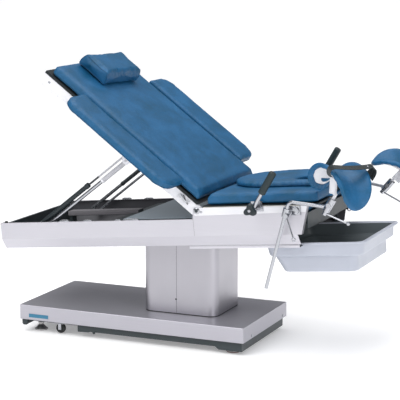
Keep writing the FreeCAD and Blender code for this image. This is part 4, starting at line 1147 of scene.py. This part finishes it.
# ---------------------------------------------------------------- knobs and grips
GDIR = Vector((0.497, 0, 0.868)).normalized()
for sd, s in (("near", -1), ("far", 1)):
    gx, gz = (422.5, 627.0) if s < 0 else (446.5, 627.0 + 0.0935 * 24)
    centre = mm(gx, s * 358, gz)
    knob_at = mm(gx, s * 368.2, gz)
    prof = [(0, 0), (0.62, 0), (0.86, 0.8), (0.97, 3.0), (1.0, 7.0), (1.0, 15.0), (0.96, 18.5), (0.86, 21.0),
            (0.70, 22.3), (0.46, 22.6), (0.40, 21.6), (0.36, 21.4), (0.0, 21.4)]
    o = lathe(sd + "_knob_lobed", [(22.6 * r, h) for r, h in prof], knob_at, (0, s, 0), "plastic", sd + "_knob",
              72, up=(0, 0, 1), ripple=lambda a, h: 1 + 0.24 * math.cos(3 * a))
    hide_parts(sd + "_grip_knob")
    lathe(sd + "_knob_screw_cap", [(0, 0), (5.4, 0), (6.2, 0.4), (6.0, 1.4), (3.4, 1.8), (3.0, 0.8), (0, 0.8)],
          mm(gx, s * (368.2 + 21.5), gz), (0, s, 0), "chrome", sd + "_knob", 24)
    lathe(sd + "_knob_collar", [(5.9, 0), (10.6, 0), (11.2, 0.5), (11.2, 1.3), (10.4, 1.6), (5.9, 1.6), (5.9, 0)],
          mm(gx, s * 366.6, gz), (0, s, 0), "plastic", sd + "_knob", 32)
    prof = [(8.05, 75.0), (12.6, 75.2), (14.2, 76.4), (14.7, 78.5), (14.9, 82), (14.6, 90)]
    h = 96.0
    while h < 160:
        prof += [(14.75, h), (14.45, h + 3.0), (14.7, h + 6.0)]
        h += 8.0
    prof += [(14.6, 166), (14.5, 169), (13.8, 171.4), (12.0, 172.6), (8.6, 172.9), (8.05, 172.9), (8.05, 75.0)]
    o = lathe(sd + "_grip_sleeve", prof, centre, GDIR, "foam", sd + "_hand_grip", 40)
    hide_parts(sd + "_grip_handle")
    lathe(sd + "_grip_end", [(0, 170.2), (11.4, 170.4), (12.0, 171.2), (11.8, 173.2), (8.0, 174.2), (0, 174.4)],
          centre, GDIR, "plastic", sd + "_hand_grip", 32)
    # ribbed collars of the rail clamp
    cl = Vector((552.216, s * 300.4, 620.0))
    ribs = [(15.05, 0.0)]
    for k in range(5):
        b = 0.6 + k * 3.4
        ribs += [(15.6, b), (16.6, b + 0.7), (16.6, b + 1.9), (15.5, b + 2.6)]
    ribs += [(15.05, 18.2), (15.05, 0.0)]
    lathe(sd + "_clamp_ribs", ribs, drop(s) @ cl / 1000 if s < 0 else mm(*cl), (0, s, 0), "chrome", "table_frame",
          36)
    w = TOPM.inverted() @ mm(552.216, 0, 620.0)
    scr = TOPM @ Vector((w.x + 0.032, s * 0.3186, w.z + 0.004))
    lathe(sd + "_clamp_cap", [(0, -7.0), (14.2, -7.0), (14.8, -6.2), (14.8, -1.4), (13.6, 0.3), (9.0, 0.6),
                              (8.2, -0.8), (4.2, -0.8), (3.8, -2.4), (0, -2.4)], scr, (0, s, 0), "chrome",
          "table_frame", 36)


# ---------------------------------------------------------------- castors and feet
for sd, s in (("near", -1), ("far", 1)):
    at = mm(-505, s * 214, 24)
    prof = [(0, -8.7), (6.6, -8.7), (7.6, -7.4), (8.2, -6.2), (13.2, -6.0), (14.2, -7.4), (17.5, -8.5), (19.8, -7.6),
            (21.0, -5.2), (21.4, -2.0), (21.4, 2.0), (21.0, 5.2), (19.8, 7.6), (17.5, 8.5), (14.2, 7.4),
            (13.2, 6.0), (8.2, 6.2), (7.6, 7.4), (6.6, 8.7), (0, 8.7)]
    o = lathe(sd + "_castor_tyre", prof, at, (0, 1, 0), "rubber", sd + "_castor_roller", 48)
    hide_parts(sd + "_castor_wheel")
    lathe(sd + "_castor_axle", [(0, -13.9), (3.6, -13.9), (4.0, -13.3), (4.0, 13.3), (3.6, 13.9), (0, 13.9)], at,
          (0, 1, 0), "chrome", sd + "_castor_roller", 20)
lathe("foot_pad_near", [(27.4, 0.0), (28.8, 0.3), (29.3, 1.2), (29.3, 2.6), (28.6, 3.4), (28.52, 3.4), (28.52, 0.2),
                        (27.4, 0.0)], mm(275, -182, 0), (0, 0, 1), "red", "base", 40)
for k, (x, y) in enumerate(((-619, -182), (-619, 182), (275, -182), (275, 182))):
    lathe("foot_nut_%d" % k, [(8.05, 0), (13.2, 0), (13.8, 0.8), (13.8, 6.6), (13.2, 7.4), (8.05, 7.4), (8.05, 0)],
          mm(x, y, 26.5), (0, 0, 1), "plated", "base", 6, smooth=False)
    rings = []
    for i in range(3):
        rings += [(8.05, 34.5 + i * 4.0), (8.9, 35.6 + i * 4.0), (8.9, 36.6 + i * 4.0)]
    rings += [(8.05, 47.0), (8.05, 34.5)]
    if y < 0 and x < 0:
        lathe("foot_thread_%d" % k, [(r, h - 12) for r, h in rings], mm(x, y, 12), (0, 0, 1), "plated", "base",
              24)


def plate_xz(name, outline, y0, y1, mat_, look, body, bevel=0.0008):
    vs, fs = prism(outline, y0, y1, mat_, "xzy")
    o = make(name, vs, fs, look, None)
    bevelled(o, bevel, 2)
    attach(o, body)
    return o


def rail_x(name, outline, x0, x1, mat_, look, body, bevel=0.0005):
    """Section in y and z drawn out along x."""
    vs, fs = prism(outline, x0, x1, mat_, "yzx")
    o = make(name, vs, fs, look, None)
    bevelled(o, bevel, 2)
    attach(o, body)
    return o


# base: corner bracket, bolt, and a black ring under the column cover that paints the shade of the gap there
plate_xz("base_corner_bracket", [(-674, 54.4), (-674, 37), (-668, 30.5), (-655, 30.5), (-648.5, 37), (-648.5, 54.4)],
         -249, -230.4, WORLD, "black", "base")
lathe("base_side_bolt", [(0, 0), (6.4, 0), (6.8, 0.6), (6.8, 3.4), (6.0, 4.2), (0, 4.2)], mm(-336, -236, 25.5),
      (0, -1, 0), "black", "base", 6, smooth=False)


def column_loop(off, z):
    x0, x1, yh, r = -156 - off, 177 + off, 137 + off, 40 + off
    pts = []
    for cx, cy, a0 in ((x1 - r, yh - r, 0), (x0 + r, yh - r, 90), (x0 + r, -yh + r, 180), (x1 - r, -yh + r, 270)):
        for k in range(9):
            a = math.radians(a0 + 90 * k / 8)
            pts.append(mm(cx + r * math.cos(a), cy + r * math.sin(a), z))
    return pts


# black ring round the foot of the column cover: painted shade of the gap between cover and base
def gap_shade_ring():
    prof = [(-2.6, 118.3), (-0.9, 118.3), (-0.5, 118.8), (-0.6, 121.2), (-1.0, 121.7), (-2.6, 121.7)]
    verts, faces = [], []
    for off, z in prof:
        verts += column_loop(off, z)
    n, m = 36, len(prof)
    for i in range(m):
        for j in range(n):
            faces.append((i * n + j, i * n + (j + 1) % n, ((i + 1) % m) * n + (j + 1) % n, ((i + 1) % m) * n + j))
    return make("column_gap_shade_ring", verts, faces, "rubber", "base", angle=40)


gap_shade_ring()
# folded seam and its screw on the near face of the column cover
for k, (y, sgn) in enumerate(((-137, -1), (137, 1))):
    vs, fs = prism([(-0.75, y - 0.1 * sgn), (-0.45, y + 0.35 * sgn), (0.45, y + 0.35 * sgn), (0.75, y - 0.1 * sgn)],
                   123.0, 427.0, WORLD, "xyz")
    make("column_seam_%d" % k, vs, fs, "dark_rod", "carriage", smooth=False)
    lathe("column_screw_%d" % k, [(0, 0), (3.6, 0), (3.8, 0.5), (3.2, 1.4), (1.4, 1.7), (1.2, 0.9), (0, 0.9)],
          mm(-2, y, 181), (0, sgn, 0), "dark_rod", "carriage", 20)
# folded hem along the lower edge of the base cover
for k, sgn in enumerate((-1, 1)):
    y = 249.5 * sgn
    rail_x("base_hem_%d" % k, [(y - 0.2 * sgn, 57.2), (y + 0.55 * sgn, 57.0), (y + 0.75 * sgn, 56.0),
                               (y + 0.55 * sgn, 55.1), (y - 0.2 * sgn, 55.1)], -682.5, 344.5, WORLD, "stainless_x",
           "base", 0.0002)

# ---------------------------------------------------------------- table frame details
tube_sec = round_outline([(-25.5, 89.5), (25.5, 89.5), (25.5, 109.5), (-25.5, 109.5)], 3.0, 4)
vs, fs = prism(tube_sec, -556.8, -219.4, TOPM, "yzx")
make("centre_tube_skin", vs, fs, "tube", "table_frame", angle=30)
for k, x in enumerate((-557.4, -219.3)):
    sec = round_outline([(-22.5, 92), (22.5, 92), (22.5, 107), (-22.5, 107)], 2.0, 3)
    vs, fs = prism(sec, x, x + 1.2, TOPM, "yzx")
    make("centre_tube_plug_%d" % k, vs, fs, "plastic", "table_frame", angle=30)
for sd, s in (("near", -1), ("far", 1)):
    # white raised panel on the seat part of the beam
    panel = round_outline([(165, 122.0), (636.5, 128.5), (643.5, 153.2), (166, 153.2)], [3, 2, 2, 3], 4)
    plate_xz(sd + "_seat_panel", panel, s * 299.9, s * 301.3, TOPM, "white", "table_frame", 0.0005)
    boss = [(0, 0), (12.4, 0), (13.2, 0.8), (13.2, 3.2), (12.2, 4.4), (7.0, 5.0), (6.2, 4.0), (0, 3.6)]
    lathe(sd + "_hinge_boss", boss, TOPM @ mm(177, s * 300.15, 142.5), (0, s, 0), "chrome", "table_frame",
          32)
    lathe(sd + "_panel_screw", [(0, 0), (4.6, 0), (4.8, 0.5), (4.0, 1.6), (1.8, 2.0), (1.6, 1.2), (0, 1.2)],
          TOPM @ mm(196, s * 301.2, 137), (0, s, 0), "chrome", "table_frame", 20)
    # light edge strip under the seat board
    strip = [(s * 298.6, 153.65), (s * 300.1, 153.65), (s * 300.3, 154.2), (s * 300.2, 155.8), (s * 299.4, 156.3),
             (s * 298.6, 156.3)]
    rail_x(sd + "_board_strip", strip, 206, 689, TOPM, "trim", "table_frame", 0.0002)
    # silver runner of the basin
    run = [(s * 235.6, -15.05), (s * 271.1, -15.05), (s * 271.1, -3.5), (s * 272.3, -3.5), (s * 272.3, -16.2),
           (s * 235.6, -16.2)]
    rail_x(sd + "_basin_runner", run, 119.4, 590.6, TOPM, "silver", "table_frame", 0.0003)
    # rubber buffer on the flange at the head end
    lathe(sd + "_head_buffer", [(0, 0), (7.2, 0), (7.8, 0.8), (7.4, 4.6), (6.2, 6.8), (3.0, 7.6), (0, 7.7)],
          TOPM @ mm(-709, s * 292.2, 108.0), TOPM.to_3x3() @ Vector((0, 0, 1)), "rubber", "table_frame", 24)
    # catches along the inside of the flange
    for k, (x0, x1, h) in enumerate(((-453, -406, 8.5), (-342, -298, 6.0), (-198, -165, 5.0), (-158, -84, 7.0))):
        hump = [(x0, 107.9), (x0 + 3, 108.0 + h * 0.7), (x0 + 10, 108.0 + h), (x1 - 10, 108.0 + h),
                (x1 - 3, 108.0 + h * 0.7), (x1, 107.9)]
        plate_xz("%s_flange_catch_%d" % (sd, k), hump, s * 289.2, s * 297.5, TOPM, "chrome", "table_frame",
                 0.0010)
    # painted shadow line: a dark strip where the seat part of the beam is folded on
    vs, fs = prism([(157.6, 40.2), (158.2, 40.2), (158.2, 118), (157.6, 118)], s * 299.8, s * 300.25, TOPM, "xzy")
    make(sd + "_beam_fold_shadow_line", vs, fs, "dark_rod", "table_frame", smooth=False)
# raised edge of the tray floor toward the column
rail_pts = [(-227.5, 7.2), (-224.6, 7.2), (-224.0, 12.6), (-227.0, 13.2)]
plate_xz("tray_floor_lip", rail_pts, -246, 246, TOPM, "tray", "table_frame", 0.0006)

# ---------------------------------------------------------------- struts
SL = 540.278


def strut_frame(s):
    return TOPM @ Matrix.Translation(mm(-124.994, s * 266, 350.424)) @ Matrix.Rotation(math.radians(-33.0212), 4, "Y")


for sd, s in (("near", -1), ("far", 1)):
    ST = strut_frame(s)
    ax = ST.to_3x3() @ Vector((1, 0, 0))
    lower, upper = sd + "_strut_lower", sd + "_strut_upper"
    if s < 0:
        z = 23
        L0 = -SL - 6.3
        n = -209 - L0
        prof = [(4.1, 0.2), (8.6, 0.0), (9.9, 0.9), (10.1, 3.0), (10.1, 15.0), (9.75, 17.0), (9.75, n - 20.0),
                (10.3, n - 18.0), (11.4, n - 17.0), (11.4, n - 4.0), (10.6, n - 0.6), (8.0, n + 1.4), (4.25, n + 1.4),
                (4.15, n - 3.0), (4.1, 0.2)]
        lathe("near_gas_cylinder", prof, ST @ mm(L0, 0, z), ax, "plastic", lower, 32)
        lathe("near_gas_rod_skin", [(4.02, 0), (4.12, 0.4), (4.12, 183.5), (4.02, 184), (4.02, 0)],
              ST @ mm(-333, 0, z), ax, "dark_rod", upper, 24)
        lathe("near_sleeve_cap", [(7.62, 0), (10.4, 0), (11.0, 0.8), (11.0, 8.5), (10.3, 9.6), (10.05, 9.6), (10.05, 1.2),
                                  (7.62, 1.2), (7.62, 0)], ST @ mm(-149.6, 0, 0), ax, "white", upper, 32)
        lathe("near_eye_collar", [(7.6, 0), (11.4, 0), (11.9, 0.8), (11.9, 10), (11.0, 11), (7.6, 11), (7.6, 0)],
              ST @ mm(-SL + 9.5, 0, 0), ax, "chrome", lower, 32)
    else:
        z = 26
        lathe("far_gas_rod_skin", [(7.50, 0), (7.53, 0.5), (7.53, 196.0), (7.50, 196.5), (7.50, 0)],
              ST @ mm(-SL + 0.5, 0, z), ax, "dark_rod", lower, 24)
        prof = [(9.02, 0), (9.6, 0.6), (9.9, 1.4), (9.9, 9.0), (9.4, 10.0), (9.02, 10.0), (9.02, 0)]
        lathe("far_gas_collar_low", prof, ST @ mm(-350.2, 0, z), ax, "plastic", upper, 32)
        lathe("far_gas_collar_high", prof, ST @ mm(-8.5, 0, z), ax, "plastic", upper, 32)
        lathe("far_tube_collar", [(5.6, 0), (9.4, 0), (9.9, 0.8), (9.9, 9), (9.2, 10), (5.6, 10), (5.6, 0)],
              ST @ mm(-SL + 9.5, 0, 0), ax, "chrome", lower, 28)

# ---------------------------------------------------------------- back section details
for sd, s in (("near", -1), ("far", 1)):
    lathe(sd + "_back_pivot_cap", [(7.2, 0), (13.0, 0), (13.6, 0.6), (13.6, 2.0), (13.0, 2.6), (7.2, 2.6), (7.2, 0)],
          BACKM @ mm(0, s * 294.1, 0), (0, s, 0), "white", "back_section", 32)
    for k, x in enumerate((-820, -640, -430, -215)):
        lathe("%s_rail_screw_%d" % (sd, k), [(0, 0), (4.8, 0), (5.0, 0.5), (4.2, 1.7), (2.0, 2.1), (1.8, 1.2),
                                            (0, 1.2)], BACKM @ mm(x, s * 294.1, -4), (0, s, 0), "chrome",
              "back_section", 20)
    # hinge leaves of the fold-down pads
    for k, x in enumerate((-585, -190)):
        outl = round_outline([(x - 26, s * 297.5), (x + 26, s * 297.5), (x + 26, s * 304.6), (x - 26, s * 304.6)], 2.5, 3)
        vs, fs = prism(outl, 30.4, 33.0, BACKM, "xyz")
        make("%s_pad_hinge_%d" % (sd, k), vs, fs, "chrome", "back_section", angle=35)
# latch at the lower near corner of the back frame; its dark wire is partly the real lever and partly painted shade of
# the gap beside it
tube("near_latch_wire_and_gap_shade", [mm(104, -297, 653), mm(108, -299, 645), mm(113, -299.5, 634), mm(119, -298.5, 622),
                         mm(122, -297, 616)], 0.0019, "dark_rod", "back_section", 10)

# ---------------------------------------------------------------- stage and light
def stage_floor():
    me = bpy.data.meshes.new("studio_floor")
    me.from_pydata([(-60, -60, 0), (60, -60, 0), (60, 90, 0), (-60, 90, 0)], [], [(0, 1, 2, 3)])
    o = bpy.data.objects.new("studio_floor", me)
    scene.collection.objects.link(o)
    m = Mat("floor_pale", rough=0.9, spec=0.1)
    m.colour(m.mix(m.span(m.noise(0.8, 2.0), 0.3, 0.7, 0.0, 1.0), (0.93, 0.93, 0.935), (0.95, 0.95, 0.95)))
    m.b.inputs["Emission Color"].default_value = (1.0, 1.0, 1.0, 1)
    m.b.inputs["Emission Strength"].default_value = 0.26
    me.materials.append(m.m)


stage_floor()
world = bpy.data.worlds.new("studio")
scene.world = world
world.use_nodes = True
bg = world.node_tree.nodes["Background"]
sky = world.node_tree
sky_dir = sky.nodes.new("ShaderNodeTexCoord").outputs["Generated"]
sky_sep = sky.nodes.new("ShaderNodeSeparateXYZ")
sky.links.new(sky_dir, sky_sep.inputs[0])
sky_ramp = sky.nodes.new("ShaderNodeValToRGB")
sky_el = sky_ramp.color_ramp.elements
sky_el.new(0.5)
sky_el.new(0.5)
for el, (at, c) in zip(sky_el, ((0.0, (0.80, 0.80, 0.80)), (0.50, (0.50, 0.51, 0.53)), (0.62, (0.26, 0.27, 0.29)),
                                (0.92, (1.0, 1.0, 1.02)))):
    el.position = at
    el.color = (*c, 1)
sky_span = sky.nodes.new("ShaderNodeMapRange")
sky_span.inputs["From Min"].default_value = -1.0
sky.links.new(sky_sep.outputs[2], sky_span.inputs["Value"])
sky.links.new(sky_span.outputs["Result"], sky_ramp.inputs["Fac"])
sky.links.new(sky_ramp.outputs["Color"], bg.inputs["Color"])
bg.inputs["Strength"].default_value = 0.62


def sun(name, direction, strength, angle, color=(1, 1, 1)):
    d = bpy.data.lights.new(name, "SUN")
    d.energy = strength
    d.angle = math.radians(angle)
    d.color = color
    o = bpy.data.objects.new(name, d)
    o.rotation_euler = Vector(direction).to_track_quat("-Z", "Y").to_euler()
    scene.collection.objects.link(o)


def area(name, loc, target, size, energy, color=(1, 1, 1)):
    d = bpy.data.lights.new(name, "AREA")
    d.shape = "RECTANGLE"
    d.size, d.size_y = size
    d.energy = energy
    d.color = color
    o = bpy.data.objects.new(name, d)
    o.location = loc
    o.rotation_euler = (Vector(target) - Vector(loc)).to_track_quat("-Z", "Y").to_euler()
    scene.collection.objects.link(o)


sun("key_sun", (0.20, 0.62, -1.1), 1.25, 40)
area("key_soft", (-1.6, -3.6, 2.6), (0, 0, 0.5), (2.4, 2.0), 40)
area("top_soft", (0.2, 0.6, 3.4), (0, 0, 0.4), (3.0, 2.4), 45)
area("foot_soft", (3.4, -2.4, 1.5), (0.3, -0.2, 0.5), (1.8, 1.8), 45)

scene.view_settings.view_transform = "Standard"
scene.view_settings.look = "None"
scene.view_settings.exposure = 0.0
